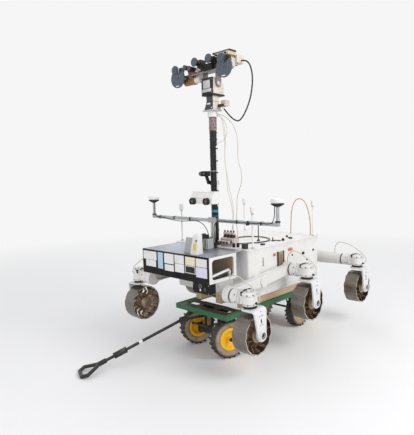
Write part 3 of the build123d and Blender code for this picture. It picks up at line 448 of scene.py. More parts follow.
def start_finish(name, roughness, metallic=0.0, coat=0.0):
    finish = bpy.data.materials.new(name)
    finish.use_nodes = True
    tree = finish.node_tree
    shader = tree.nodes["Principled BSDF"]
    shader.inputs["Roughness"].default_value = roughness
    shader.inputs["Metallic"].default_value = metallic
    shader.inputs["Coat Weight"].default_value = coat
    return finish, tree, shader


def use_group(tree, kind, **values):
    """The outputs of a shared group that has these inputs."""
    node = tree.nodes.new("ShaderNodeGroup")
    node.node_tree = GROUPS[kind]
    for word, value in values.items():
        feed(tree, node.inputs[word.replace("_", " ")], value)
    return node.outputs


def blend_colour(tree, mask, first, second):
    """Colour from first to second as the mask goes from nought to one."""
    node = tree.nodes.new("ShaderNodeMix")
    node.data_type = "RGBA"
    feed(tree, node.inputs["Factor"], mask)
    for word, value in (("A", first), ("B", second)):
        feed(tree, node.inputs[word], (*value, 1) if isinstance(value, tuple) else value)
    return node.outputs["Result"]


def raise_surface(tree, shader, height, strength, distance=0.001):
    bump = tree.nodes.new("ShaderNodeBump")
    feed(tree, bump.inputs["Strength"], strength)
    feed(tree, bump.inputs["Distance"], distance)
    feed(tree, bump.inputs["Height"], height)
    feed(tree, shader.inputs["Normal"], bump.outputs["Normal"])


def drifting(tree, colour, shade, scale, amount):
    """A colour that drifts slowly into a shade of it."""
    return blend_colour(tree, use_group(tree, "drift", Scale=scale, Amount=amount)["Mask"], colour, shade)


def rougher(tree, mask, share, roughness):
    """Roughness that grows with a mask."""
    return calc(tree, "ADD", calc(tree, "MULTIPLY", mask, share), roughness, True)


def coat_finish(name, colour, shade, roughness=0.45, metallic=0.0, drift=(6.0, 0.6), grain=(420.0, 0.3),
                edge=(0.0018, 0.5, (0.45, 0.44, 0.42)), dust=(0.25, 22.0), gloss=0.5, patches=()):
    """Paint or plastic: shade drift, rubbed edges, dust and a fine tooth, with patches of other colours,
    some of them painted shade.
    """
    finish, tree, shader = start_finish(name, roughness, metallic)
    shader.inputs["Specular IOR Level"].default_value = gloss
    base = drifting(tree, colour, shade, *drift)
    for low, high, other in patches:
        centre = at(*(Vector(low) + Vector(high)) / 2)
        half = (Vector(high) - Vector(low)) / 2000
        patch = use_group(tree, "patch", Centre=tuple(centre), Half_size=tuple(half))
        base = blend_colour(tree, patch["Mask"], base, other)
    width, amount, bare = edge
    base = blend_colour(tree, use_group(tree, "edge", Width=width, Amount=amount)["Mask"], base, bare)
    settled = use_group(tree, "dust", Amount=dust[0], Scale=dust[1])["Mask"]
    feed(tree, shader.inputs["Base Color"], blend_colour(tree, settled, base, DUST))
    feed(tree, shader.inputs["Roughness"], rougher(tree, settled, 0.5, roughness))
    tooth = use_group(tree, "grain", Scale=grain[0], Depth=grain[1])
    raise_surface(tree, shader, tooth["Height"], 0.35)
    return finish


def metal_finish(name, colour, shade, roughness, stretch, dust=(0.2, 20.0), drift=(8.0, 0.7)):
    """Brushed or milled metal with handling marks and dust; on the nose lid its colour drift is a painted
    reflection.
    """
    finish, tree, shader = start_finish(name, roughness, 1.0)
    lines = use_group(tree, "brushed", Stretch=stretch, Depth=0.5)
    base = drifting(tree, colour, shade, *drift)
    settled = use_group(tree, "dust", Amount=dust[0], Scale=dust[1])["Mask"]
    feed(tree, shader.inputs["Base Color"], blend_colour(tree, settled, base, DUST))
    streaked = calc(tree, "ADD", calc(tree, "MULTIPLY", lines["Mask"], 0.16), roughness)
    feed(tree, shader.inputs["Roughness"], rougher(tree, settled, 0.4, streaked))
    feed(tree, shader.inputs["Metallic"], calc(tree, "SUBTRACT", 1.0, settled, True))
    raise_surface(tree, shader, lines["Height"], 0.25, 0.0005)
    return finish


def timber_finish():
    """Sawn softwood: growth bands, fine fibres, knots and grime."""
    finish, tree, shader = start_finish("sawn_timber", 0.72)
    bands = tree.nodes.new("ShaderNodeTexWave")
    bands.wave_type = "RINGS"
    bands.rings_direction = "X"
    bands.inputs["Scale"].default_value = 1.6
    bands.inputs["Distortion"].default_value = 6.0
    bands.inputs["Detail"].default_value = 3.0
    feed(tree, bands.inputs["Vector"], vector_calc(tree, "MULTIPLY", own_place(tree), (1.2, 14, 14)))
    fibres = use_group(tree, "brushed", Stretch=(6, 380, 380), Depth=0.8)
    grime = calc(tree, "MULTIPLY", use_group(tree, "drift", Scale=5.0, Amount=0.8)["Mask"], 0.4)
    base = blend_colour(tree, bands.outputs["Fac"], (0.8, 0.64, 0.45), (0.64, 0.44, 0.27))
    base = blend_colour(tree, calc(tree, "MULTIPLY", fibres["Mask"], 0.35), base, (0.86, 0.73, 0.54))
    base = blend_colour(tree, grime, base, (0.5, 0.34, 0.22))
    settled = use_group(tree, "dust", Amount=0.2, Scale=14.0)["Mask"]
    feed(tree, shader.inputs["Base Color"], blend_colour(tree, settled, base, DUST))
    raise_surface(tree, shader, fibres["Height"], 0.6)
    return finish


def wheel_steel_finish():
    """Spring steel drifting into brown, partly its own browning and partly a painted reflection of sandy
    ground; plate edges painted near-white, partly as wear from stones and partly as a painted highlight.
    """
    finish, tree, shader = start_finish("wheel_steel", 0.38, 1.0)
    # Grey into brown: the steel's own browning together with a painted reflection of sandy ground.
    base = drifting(tree, (0.2, 0.19, 0.18), (0.17, 0.13, 0.095), 9.0, 0.9)
    lines = use_group(tree, "brushed", Stretch=(260, 12, 260), Depth=0.5)
    base = blend_colour(tree, calc(tree, "MULTIPLY", lines["Mask"], 0.2), base, (0.34, 0.32, 0.29))
    # Near-white edges: wear from stones together with a painted highlight along the plate edges.
    worn = use_group(tree, "edge", Width=0.0022, Amount=0.95)["Mask"]
    base = blend_colour(tree, worn, base, (0.82, 0.79, 0.74))
    sand = calc(tree, "MULTIPLY", span(tree, noise(tree, 20.0, 6.0, 0.7), 0.5, 0.72), 0.2, True)
    feed(tree, shader.inputs["Base Color"], blend_colour(tree, sand, base, (0.4, 0.32, 0.24)))
    feed(tree, shader.inputs["Metallic"], calc(tree, "SUBTRACT", 1.0, sand, True))
    feed(tree, shader.inputs["Roughness"], rougher(tree, sand, 0.5, 0.3))
    raise_surface(tree, shader, lines["Height"], 0.4, 0.0006)
    return finish


def cable_finish(name, colour, shade):
    finish, tree, shader = start_finish(name, 0.5)
    feed(tree, shader.inputs["Base Color"], drifting(tree, colour, shade, 24.0, 0.8))
    raise_surface(tree, shader, use_group(tree, "grain", Scale=700.0, Depth=0.5)["Height"], 0.4)
    return finish


def glass_finish(name, tint):
    """Coated lens glass: dark, with a tinted sheen painted into its colour where it is seen edge-on."""
    finish, tree, shader = start_finish(name, 0.06, 0.0, 1.0)
    # Painted sheen: the colour turns to the tint towards grazing view.
    rim = tree.nodes.new("ShaderNodeLayerWeight")
    rim.inputs["Blend"].default_value = 0.35
    base = blend_colour(tree, rim.outputs["Facing"], (0.01, 0.01, 0.014), tint)
    feed(tree, shader.inputs["Base Color"], base)
    smear = span(tree, noise(tree, 120.0, 3.0, 0.6), 0.45, 0.8)
    feed(tree, shader.inputs["Roughness"], rougher(tree, smear, 0.12, 0.05))
    return finish


def tyre_finish(name, node, axle):
    """Black rubber, its walls and lug tops ground with sand."""
    low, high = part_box(node)
    finish, tree, shader = start_finish(name, 0.8)
    reach = use_group(tree, "axle", Centre=tuple((low + high) / 2), Axle=axle)["Distance"]
    cloud = span(tree, noise(tree, 14.0, 6.0, 0.7), 0.3, 0.62)
    speck = span(tree, noise(tree, 120.0, 3.0, 0.6), 0.36, 0.6)
    wall_sand = calc(tree, "MULTIPLY", span(tree, reach, 0.137, 0.118), span(tree, cloud, -0.6, 0.7))
    tread_sand = calc(tree, "MULTIPLY", calc(tree, "MULTIPLY", cloud, speck), 0.3)
    sand = calc(tree, "MULTIPLY", calc(tree, "MAXIMUM", wall_sand, tread_sand), 0.85, True)
    feed(tree, shader.inputs["Base Color"], blend_colour(tree, sand, (0.01, 0.01, 0.01), (0.46, 0.36, 0.27)))
    feed(tree, shader.inputs["Roughness"], rougher(tree, sand, 0.2, 0.72))
    raise_surface(tree, shader, use_group(tree, "grain", Scale=240.0, Depth=0.8)["Height"], 0.5)
    return finish


BLACK = (0.008, 0.008, 0.01)
BLACK_STEEL = (0.01, 0.01, 0.011)
CREAM = (0.74, 0.68, 0.58)
CREAM_SHADE = (0.62, 0.56, 0.48)
FRAME_WHITE = (0.8, 0.79, 0.77)
FRAME_SHADE = (0.66, 0.64, 0.6)
SLATE = (0.085, 0.11, 0.135)
SLATE_SHADE = (0.055, 0.072, 0.09)
SLATE_EDGE = (0.0015, 0.5, (0.3, 0.33, 0.36))
CART_GREEN = (0.02, 0.15, 0.06)
CART_GREEN_SHADE = (0.012, 0.09, 0.035)
CART_EDGE = (0.002, 0.8, (0.16, 0.13, 0.1))


def make_finishes():
    return {
        "white_paint": coat_finish("white_paint_finish", (0.78, 0.77, 0.74), (0.68, 0.67, 0.64), 0.42),
        "white_anodised": coat_finish(
            "leg_white", (0.76, 0.76, 0.75), (0.64, 0.64, 0.64), 0.38, edge=(0.0015, 0.7, (0.5, 0.5, 0.5)),
            grain=(700.0, 0.4)),
        "bare_aluminium": metal_finish(
            "brushed_aluminium", (0.72, 0.72, 0.71), (0.56, 0.56, 0.56), 0.34, (500, 3, 500)),
        "white_frame": coat_finish("nose_frame_white", FRAME_WHITE, FRAME_SHADE, 0.5),
        "black_plate": coat_finish(
            "black_coat", BLACK, (0.018, 0.018, 0.018), 0.45, gloss=0.25,
            edge=(0.0015, 0.4, (0.14, 0.13, 0.12)), dust=(0.08, 30.0)),
        "white_plastic": coat_finish(
            "white_plastic_shell", (0.82, 0.81, 0.79), (0.74, 0.73, 0.7), 0.35,
            edge=(0.001, 0.3, (0.6, 0.59, 0.56)), grain=(900.0, 0.2)),
        "dark_bearing": coat_finish(
            "bearing_brown", (0.035, 0.022, 0.018), (0.07, 0.045, 0.035), 0.4, gloss=0.3, metallic=0.4,
            edge=(0.0015, 0.5, (0.25, 0.2, 0.17)), dust=(0.1, 22.0)),
        "cream_paint": coat_finish("cream_head_paint", CREAM, CREAM_SHADE, 0.45),
        "grey_disc": coat_finish(
            "slate_disc", SLATE, SLATE_SHADE, 0.4, gloss=0.3, edge=SLATE_EDGE, dust=(0.1, 30.0)),
        "steel_plate": wheel_steel_finish(),
        "green_paint": coat_finish(
            "cart_green", CART_GREEN, CART_GREEN_SHADE, 0.4, gloss=0.3, edge=CART_EDGE, dust=(0.25, 16.0)),
        "black_steel": coat_finish(
            "cart_black_steel", BLACK_STEEL, (0.022, 0.021, 0.02), 0.45, gloss=0.3,
            edge=(0.0018, 0.6, (0.18, 0.15, 0.12)), dust=(0.25, 18.0)),
        "yellow_rim": coat_finish(
            "rim_yellow", (0.9, 0.53, 0.008), (0.84, 0.42, 0.005), 0.35, gloss=0.4,
            edge=(0.0018, 0.5, (0.4, 0.34, 0.2)), dust=(0.12, 18.0)),
        "timber": timber_finish(),
        "cable_black": cable_finish("black_cable_sheath", BLACK_STEEL, (0.022, 0.022, 0.022)),
        "cable_light": cable_finish("pale_cable_sheath", (0.66, 0.62, 0.5), (0.5, 0.46, 0.36)),
        "cable_orange": cable_finish("orange_cable_sheath", (0.62, 0.28, 0.2), (0.5, 0.2, 0.13)),
        "silver": metal_finish("milled_silver", (0.6, 0.6, 0.6), (0.42, 0.42, 0.42), 0.3, (300, 300, 4)),
        "brass": metal_finish("lamp_brass", (0.4, 0.22, 0.07), (0.2, 0.1, 0.03), 0.32, (4, 400, 400)),
        "spring_bronze": metal_finish(
            "leaf_spring_bronze", (0.52, 0.38, 0.26), (0.3, 0.2, 0.13), 0.3, (200, 200, 8), (0.2, 30.0)),
        # Near-white lips on the plate edges: worn steel together with a painted highlight.
        "bright_lip": metal_finish(
            "stone_bright_lip", (0.92, 0.88, 0.8), (0.6, 0.54, 0.46), 0.3, (60, 4, 60), (0.1, 30.0),
            (30.0, 0.7)),
        "worn_steel": metal_finish(
            "worn_grey_steel", (0.26, 0.25, 0.24), (0.14, 0.13, 0.12), 0.42, (300, 300, 4)),
        "hub_bronze": metal_finish(
            "hub_bronze", (0.36, 0.28, 0.2), (0.24, 0.17, 0.11), 0.3, (60, 4, 60), (0.35, 24.0)),
        "knob_red": coat_finish("knob_orange", (0.7, 0.2, 0.09), (0.55, 0.12, 0.05), 0.4),
        "latch_brown": coat_finish("latch_bronze", (0.42, 0.3, 0.2), (0.3, 0.2, 0.12), 0.4, 0.5),
        "rose_plastic": coat_finish(
            "rose_connectors", (0.72, 0.6, 0.57), (0.5, 0.36, 0.33), 0.45, drift=(40.0, 0.9)),
        "rust_wrap": coat_finish(
            "rust_flecked_wrap", (0.045, 0.026, 0.026), (0.62, 0.46, 0.42), 0.6, drift=(60.0, 0.72),
            grain=(180.0, 0.9), dust=(0.05, 30.0)),
        "blue_tape": coat_finish(
            "blue_cloth_tape", (0.01, 0.25, 0.42), (0.01, 0.17, 0.3), 0.5, grain=(600.0, 0.6)),
        "green_tape": coat_finish("dark_green_tape", (0.03, 0.09, 0.07), (0.02, 0.06, 0.05), 0.5),
        "label_yellow": coat_finish("yellow_blank_label", (0.78, 0.55, 0.1), (0.6, 0.4, 0.08), 0.5),
        "blank_silver": metal_finish(
            "satin_silver_plate", (0.62, 0.62, 0.64), (0.4, 0.4, 0.42), 0.42, (3, 600, 600)),
        "gold_fittings": metal_finish(
            "gold_chromate", (0.66, 0.5, 0.26), (0.4, 0.28, 0.12), 0.34, (500, 4, 500)),
        "lens_dark": glass_finish("dark_lens_glass", (0.1, 0.12, 0.2)),
        "lens_red": glass_finish("rose_lens_glass", (0.42, 0.1, 0.12)),
    }


def node_finishes():
    """Finishes of the solids that carry more than one colour, some of it painted shade, with boxes in
    millimetres for the others.
    """
    grey_black = (0.02, 0.02, 0.02)
    rose = (0.7, 0.6, 0.56)
    brass = (0.26, 0.14, 0.035)
    pale_brown = (0.62, 0.54, 0.42)
    # Near-black green: painted shade on the cart frame's front end and under it.
    dark_green = (0.004, 0.02, 0.012)
    # Tan: painted shade on the white inside of the nose, seen through its windows.
    tan = (0.62, 0.48, 0.34)
    grey = (0.5, 0.5, 0.48)
    special = {
        "pan_base": coat_finish("head_foot_paint", CREAM, CREAM_SHADE, 0.45, patches=[
            ((330, -70, 1860), (470, 70, 1872.6), (0.5, 0.5, 0.5)),
            ((436, -60, 1872.6), (438, 42, 1992), (0.03, 0.038, 0.048)),
            ((349, 41, 1893), (388, 97, 1903), BLACK),
            ((366, 41, 1893), (388, 97, 1916), BLACK),
            ((305, 47, 1900), (357, 95, 1947), pale_brown)]),
        "pan_head": coat_finish(
            "head_box_paint", BLACK, grey_black, 0.38, gloss=0.3, dust=(0.1, 25.0), patches=[
                ((318, 40, 1990), (448, 60, 2113), CREAM),
                ((318, -60, 1990), (448, -40, 2113), CREAM),
                ((318, -52, 1990), (345, 52, 2075), CREAM)]),
        "bench_electronics": coat_finish(
            "electronics_boxes", BLACK, grey_black, 0.42, gloss=0.3, dust=(0.1, 25.0), patches=[
                ((262, 100, 2190), (350.5, 216, 2266), rose),
                ((340, 128, 2170), (352, 192, 2206), (0.3, 0.3, 0.3)),
                ((345, 90, 2237), (425, 198, 2250), (0.55, 0.42, 0.22)),
                ((340, 70, 2250), (440, 206, 2276.5), (0.62, 0.54, 0.4)),
                ((349, 90, 2172), (426, 198, 2236), (0.62, 0.6, 0.57)),
                ((349, 90, 2172), (426, 150, 2236), CREAM)]),
        "bench_cameras": coat_finish("bench_camera_paint", BLACK, (0.06, 0.025, 0.028), 0.4, patches=[
            ((360, -290, 2090), (440, -167, 2158), brass),
            ((360, -167, 2090), (440, -100, 2158), (0.72, 0.7, 0.66)),
            ((370, -224, 2172), (436, -140, 2200), (0.2, 0.06, 0.06))]),
        "filter_discs": coat_finish(
            "disc_slate", SLATE, SLATE_SHADE, 0.4, gloss=0.3, edge=SLATE_EDGE, dust=(0.1, 30.0), patches=[
                ((428, -400, 2070), (461.9, 280, 2270), BLACK),
                ((428, 193, 2177), (467, 242, 2236), BLACK),
                ((428, -302, 2177), (467, -253, 2236), BLACK)]),
        "cart_frame": coat_finish(
            "cart_frame_green", CART_GREEN, CART_GREEN_SHADE, 0.4, gloss=0.3, edge=CART_EDGE,
            dust=(0.12, 16.0), patches=[
                # Painted shade: near-black green on the frame's front end and under it.
                ((429, -258, 348), (609, 288, 353), dark_green),
                ((416, -120, 312), (609, 150, 351), dark_green)]),
        "cross_bar": metal_finish(
            "bar_dull_aluminium", (0.5, 0.52, 0.54), (0.34, 0.35, 0.36), 0.4, (300, 3, 300)),
        "nose_panel": coat_finish(
            "nose_panel_black", BLACK, grey_black, 0.5, gloss=0.1, dust=(0.02, 30.0), patches=[
                # Tan inside face: painted shade of the nose's white inside.
                ((849, -341, 644), (850.6, 341, 823), tan)]),
        # Blue-grey drifting into brown on a bare metal lid: painted reflection of sky and sandy ground.
        "nose_lid": metal_finish(
            "lid_brushed_metal", (0.2, 0.27, 0.34), (0.38, 0.34, 0.3), 0.3, (4, 300, 300), (0.12, 14.0),
            (2.2, 0.9)),
        "camera_bench": coat_finish(
            "bench_grey", (0.2, 0.18, 0.18), (0.34, 0.28, 0.27), 0.38, 0.6, drift=(24.0, 0.9)),
        "connector_block": coat_finish(
            "junction_paint", (0.66, 0.56, 0.53), (0.42, 0.3, 0.28), 0.45, drift=(34.0, 0.9), patches=[
                ((420.5, 60, 826), (470, 200, 892), BLACK),
                ((330, 60, 891.5), (425, 200, 930), BLACK),
                ((420, 300, 826), (470, 360, 880), BLACK),
                ((60, 160, 826), (100, 200, 1000), BLACK)]),
        "deck_instruments": coat_finish(
            "instrument_paint", BLACK, grey_black, 0.4, gloss=0.3, dust=(0.1, 25.0), patches=[
                ((740, 50, 824), (806, 130, 942), (0.4, 0.4, 0.41)),
                ((600.5, -10, 826), (603, 100, 902), (0.6, 0.58, 0.55)),
                ((529, 60, 826), (594, 98, 902), grey)]),
        "nose_box": coat_finish("nose_frame_paint", FRAME_WHITE, FRAME_SHADE, 0.5, patches=[
            # Blue-grey on a white inner wall of the nose: painted shade.
            ((486, 249, 640), (568, 252, 822), (0.36, 0.4, 0.46)),
            # Tan inside: painted shade of the nose's white inside.
            ((573, -341.8, 642), (849, 341.8, 822), tan),
            # Grey band on the white neck under the nose: painted shade.
            ((464, -352, 550), (770, 352, 641.5), grey)]),
        "handle": coat_finish(
            "handle_black", BLACK_STEEL, (0.02, 0.019, 0.018), 0.4, gloss=0.35, dust=(0.15, 20.0)),
    }
    turn = math.radians(CART_TURN)
    for end, axle in (("front", (math.sin(turn), math.cos(turn), 0)), ("rear", (0, 1, 0))):
        for _, word in SIDES:
            node = f"tyre_{end}_{word}"
            special[node] = tyre_finish(f"dusty_{node}", node, axle)
    return special


FINISHES = make_finishes()


def dress_nodes():
    """Gives each carried-over solid its finish."""
    special = node_finishes()
    for name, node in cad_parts.items():
        for slot in node.material_slots:
            word = slot.material.name.split(".")[0]
            if name in special:
                slot.material = special[name]
            elif word in FINISHES:
                slot.material = FINISHES[word]


# Shapes, drawn in millimetres
DRAWING = Matrix.Translation((SHIFT, 0, 0))


def mirrored(side):
    """The drawing's place in the frame, with its left turned to the right for side -1."""
    return DRAWING @ Matrix.Scale(side, 4, LEFT)


def slab(shape, low, high, rounding=0.0, segments=2):
    """Box between two corners, with rounded edges."""
    size = [b - a for a, b in zip(low, high)]
    middle = [(a + b) / 2 for a, b in zip(low, high)]
    place = Matrix.Translation(middle) @ Matrix.Diagonal((*size, 1))
    verts = bmesh.ops.create_cube(shape, size=1, matrix=place)["verts"]
    if rounding:
        edges = list({edge for vert in verts for edge in vert.link_edges})
        bmesh.ops.bevel(shape, geom=edges, offset=rounding, segments=segments, affect="EDGES", profile=0.5)


def round_places(centre, direction, radius, count, turn=0.0):
    """Evenly spaced places on a circle round an axis."""
    axis = Vector(direction).normalized()
    across = axis.orthogonal().normalized()
    other = axis.cross(across)
    angles = [turn + 2 * math.pi * k / count for k in range(count)]
    return [Vector(centre) + radius * (across * math.cos(a) + other * math.sin(a)) for a in angles]


def solid(*steps):
    """Profile of a turned form without a bore: its steps, closed on the axis at both ends."""
    end = [] if steps[-1][1] == 0 else [(steps[-1][0], 0)]
    return [(steps[0][0], 0), *steps, *end]


def turned(shape, start, direction, profile, sides):
    """Turned form: (along, radius) steps from a start point along a direction.

    Round a bore, where the first step has a radius, the last step joins the first.
    """
    rings = []
    for along, radius in profile:
        middle = Vector(start) + Vector(direction).normalized() * along
        places = round_places(middle, direction, radius, sides) if radius else [middle]
        rings.append([shape.verts.new(place) for place in places])
    if profile[0][1] > 0:
        rings.append(rings[0])
    for low, high in zip(rings, rings[1:]):
        count = max(len(low), len(high))
        for k in range(count):
            after = (k + 1) % count
            corners = [
                low[k % len(low)], low[after % len(low)], high[after % len(high)], high[k % len(high)]]
            corners = list(dict.fromkeys(corners))
            if len(corners) > 2:
                shape.faces.new(corners)


def put_mesh(name, mesh, body, crease):
    """Hangs a mesh on a body, shaded smooth but for creases sharper than so many degrees."""
    for face in mesh.polygons:
        face.use_smooth = True
    mesh.set_sharp_from_angle(angle=math.radians(crease))
    piece = bpy.data.objects.new(name, mesh)
    bpy.context.collection.objects.link(piece)
    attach(piece, body)
    return piece


def draw_piece(name, finish, body, slabs=(), turns=(), place=DRAWING):
    """A piece of rounded boxes and turned forms, as slab and turned take them, that rides on a body."""
    shape = bmesh.new()
    for given in slabs:
        slab(shape, *given)
    for given in turns:
        turned(shape, *given)
    bmesh.ops.recalc_face_normals(shape, faces=shape.faces)
    mesh = bpy.data.meshes.new(name)
    shape.to_mesh(mesh)
    shape.free()
    mesh.transform(place @ Matrix.Scale(0.001, 4))
    if place.determinant() < 0:
        mesh.flip_normals()
    mesh.materials.append(FINISHES[finish])
    put_mesh(name, mesh, body, 35.0)


# Geometry node trees for what repeats
def new_geometry_tree(name, inputs):
    """An empty tree, with its inputs and its outputs by name."""
    tree = bpy.data.node_groups.new(name, "GeometryNodeTree")
    tree.interface.new_socket("Geometry", in_out="INPUT", socket_type="NodeSocketGeometry")
    for word, kind, value in inputs:
        socket = tree.interface.new_socket(word, in_out="INPUT", socket_type=kind)
        if value is not None:
            socket.default_value = value
    tree.interface.new_socket("Geometry", in_out="OUTPUT", socket_type="NodeSocketGeometry")
    return tree, tree.nodes.new("NodeGroupInput").outputs, tree.nodes.new("NodeGroupOutput").inputs


def spread_copies(tree, points, copied, turn, finish, result):
    """Real copies on points, each turned, with one finish."""
    spread = tree.nodes.new("GeometryNodeInstanceOnPoints")
    feed(tree, spread.inputs["Points"], points)
    feed(tree, spread.inputs["Instance"], copied)
    feed(tree, spread.inputs["Rotation"], turn)
    real = tree.nodes.new("GeometryNodeRealizeInstances")
    feed(tree, real.inputs[0], spread.outputs[0])
    paint = tree.nodes.new("GeometryNodeSetMaterial")
    feed(tree, paint.inputs["Geometry"], real.outputs[0])
    feed(tree, paint.inputs["Material"], finish)
    feed(tree, result[0], paint.outputs[0])


def make_screw_tree():
    """A washer and a cap head on every vertex, turned along its own facing."""
    tree, given, result = new_geometry_tree("cap_screws", [
        ("Head radius", "NodeSocketFloat", 0.003), ("Head height", "NodeSocketFloat", 0.003),
        ("Sides", "NodeSocketInt", 6), ("Finish", "NodeSocketMaterial", None)])
    head = tree.nodes.new("GeometryNodeMeshCylinder")
    washer = tree.nodes.new("GeometryNodeMeshCylinder")
    washer.inputs["Vertices"].default_value = 16
    feed(tree, head.inputs["Vertices"], given["Sides"])
    feed(tree, head.inputs["Radius"], given["Head radius"])
    feed(tree, head.inputs["Depth"], given["Head height"])
    feed(tree, washer.inputs["Radius"], calc(tree, "MULTIPLY", given["Head radius"], 1.4))
    feed(tree, washer.inputs["Depth"], calc(tree, "MULTIPLY", given["Head height"], 0.35))
    join = tree.nodes.new("GeometryNodeJoinGeometry")
    for part, share in ((head, 0.5), (washer, 0.17)):
        lift = tree.nodes.new("ShaderNodeCombineXYZ")
        feed(tree, lift.inputs["Z"], calc(tree, "MULTIPLY", given["Head height"], share))
        move = tree.nodes.new("GeometryNodeTransform")
        feed(tree, move.inputs["Geometry"], part.outputs["Mesh"])
        feed(tree, move.inputs["Translation"], lift.outputs[0])
        feed(tree, join.inputs[0], move.outputs["Geometry"])
    facing = tree.nodes.new("GeometryNodeInputNamedAttribute")
    facing.data_type = "FLOAT_VECTOR"
    facing.inputs["Name"].default_value = "facing"
    turn = tree.nodes.new("FunctionNodeAlignRotationToVector")
    feed(tree, turn.inputs["Vector"], facing.outputs["Attribute"])
    spread_copies(tree, given["Geometry"], join.outputs[0], turn.outputs[0], given["Finish"], result)
    return tree


def make_ring_tree():
    """Copies of a piece set round an axis through the origin."""
    tree, given, result = new_geometry_tree("set_round", [
        ("Count", "NodeSocketInt", 12), ("Axis", "NodeSocketVector", (0.0, 1.0, 0.0)),
        ("Finish", "NodeSocketMaterial", None)])
    centre = tree.nodes.new("GeometryNodePoints")
    feed(tree, centre.inputs["Count"], given["Count"])
    index = tree.nodes.new("GeometryNodeInputIndex")
    step = calc(tree, "DIVIDE", 2 * math.pi, given["Count"])
    turn = tree.nodes.new("FunctionNodeAxisAngleToRotation")
    feed(tree, turn.inputs["Axis"], given["Axis"])
    feed(tree, turn.inputs["Angle"], calc(tree, "MULTIPLY", index.outputs[0], step))
    spread_copies(tree, centre.outputs[0], given["Geometry"], turn.outputs[0], given["Finish"], result)
    return tree


SCREWS = make_screw_tree()
ROUND = make_ring_tree()


def grown(name, mesh, tree, **values):
    """The plain mesh that a geometry node tree makes from a mesh."""
    seed = bpy.data.objects.new(name + "_seed", mesh)
    bpy.context.collection.objects.link(seed)
    modifier = seed.modifiers.new("grow", "NODES")
    modifier.node_group = tree
    for item in tree.interface.items_tree:
        word = item.name.replace(" ", "_")
        if item.in_out == "INPUT" and word in values:
            modifier[item.identifier] = values[word]
    bpy.context.view_layer.update()
    result = bpy.data.meshes.new_from_object(seed.evaluated_get(bpy.context.evaluated_depsgraph_get()))
    bpy.data.objects.remove(seed)
    bpy.data.meshes.remove(mesh)
    result.name = name
    return result


# Looks of screws: slot and finish
BRIGHT = ("bare_aluminium", "silver")
DARK = ("black_steel", "dark_bearing")


def screw_set(name, body, look, places, radius, height, sides=6, place=DRAWING):
    """Screws at (point, facing) places in millimetres."""
    slot, finish = look
    turn = place.to_3x3()
    mesh = bpy.data.meshes.new(name + "_points")
    mesh.from_pydata([place @ (Vector(p) / 1000) for p, _ in places], [], [])
    facing = mesh.attributes.new("facing", "FLOAT_VECTOR", "POINT")
    for item, (_, direction) in zip(facing.data, places):
        item.vector = (turn @ Vector(direction)).normalized()
    result = grown(name, mesh, SCREWS, Head_radius=radius / 1000, Head_height=height / 1000, Sides=sides,
                   Finish=FINISHES[finish])
    put_mesh(name, result, body, 30.0)


def rows(ends, count, facing):
    """Evenly spaced places between each pair of ends."""
    return [(Vector(a).lerp(Vector(b), k / (count - 1)), facing) for a, b in ends for k in range(count)]


def circle(centre, direction, radius, count, turn=0.0):
    """Evenly spaced places on a circle that all face along its axis."""
    return [(place, direction) for place in round_places(centre, direction, radius, count, turn)]


# Rover wheels
PLATES = 12
PLATE_STEP = 2 * math.pi / PLATES
WHEEL_RADIUS = 142.5
WHEEL_HALF = 60


def plate_reach(angle):
    """Radius and half width of a tread plate at an angle from its leading edge."""
    share = max(0.0, angle) / PLATE_STEP
    lapped = max(0.0, -angle) / (0.2 * PLATE_STEP)
    radius = WHEEL_RADIUS - 0.9 - 4.2 * share - 1.6 * lapped
    if 0 <= angle <= PLATE_STEP:
        radius *= math.cos(PLATE_STEP / 2) / math.cos(angle - PLATE_STEP / 2)
    radius += 4.2 * math.sin(math.pi * min(1.0, share))
    half = WHEEL_HALF - 4.5 * math.cos(math.pi * share) ** 2 - 2 * lapped
    return radius, half


def on_wheel(radius, y, angle):
    return Vector((radius * math.cos(angle), y, radius * math.sin(angle)))


def wheel_plate():
    """One lapped tread plate with scalloped edges, in the wheel's own space."""
    shape = bmesh.new()
    start = -0.2 * PLATE_STEP
    across, along = 12, 10
    outer, inner = [], []
    for i in range(along + 1):
        angle = start + (PLATE_STEP - start) * (i / along)
        radius, half = plate_reach(angle)
        for grid, offset in ((outer, 0.0), (inner, -2.4)):
            line = []
            for j in range(across + 1):
                y = -half + 2 * half * j / across
                dish = 0.8 * (y / WHEEL_HALF) ** 2
                line.append(shape.verts.new(on_wheel(radius + offset - dish, y, angle)))
            grid.append(line)
    for i in range(along):
        for j in range(across):
            a, b = outer[i], outer[i + 1]
            shape.faces.new((a[j], a[j + 1], b[j + 1], b[j]))
            a, b = inner[i], inner[i + 1]
            shape.faces.new((a[j], b[j], b[j + 1], a[j + 1]))
    for i in range(along):
        for j in (0, across):
            shape.faces.new((outer[i][j], outer[i + 1][j], inner[i + 1][j], inner[i][j]))
    for j in range(across):
        for i in (0, along):
            shape.faces.new((outer[i][j], outer[i][j + 1], inner[i][j + 1], inner[i][j]))
    rivet = [(-1, 0), (-1, 3.2), (0.2, 3.2), (0.8, 2), (1.0, 0)]
    for y in (-44, -22, 22, 44):
        place = on_wheel(WHEEL_RADIUS - 1.4, y, 0.045 * PLATE_STEP)
        turned(shape, place, place - Vector((0, y, 0)), rivet, 10)
    return shape


def plate_lip():
    """Turned-in lips along both scalloped edges of one tread plate."""
    shape = bmesh.new()
    for side in (-1, 1):
        line = []
        for i in range(17):
            angle = PLATE_STEP * i / 16
            radius, half = plate_reach(angle)
            corners = ((0.6, 0.3), (6.6, 0.3), (6.6, 1.9), (0.6, 1.9))
            line.append([
                shape.verts.new(on_wheel(radius - 0.8 - depth, side * (half - inset), angle))
                for depth, inset in corners])
        skin(shape, line)
    return shape


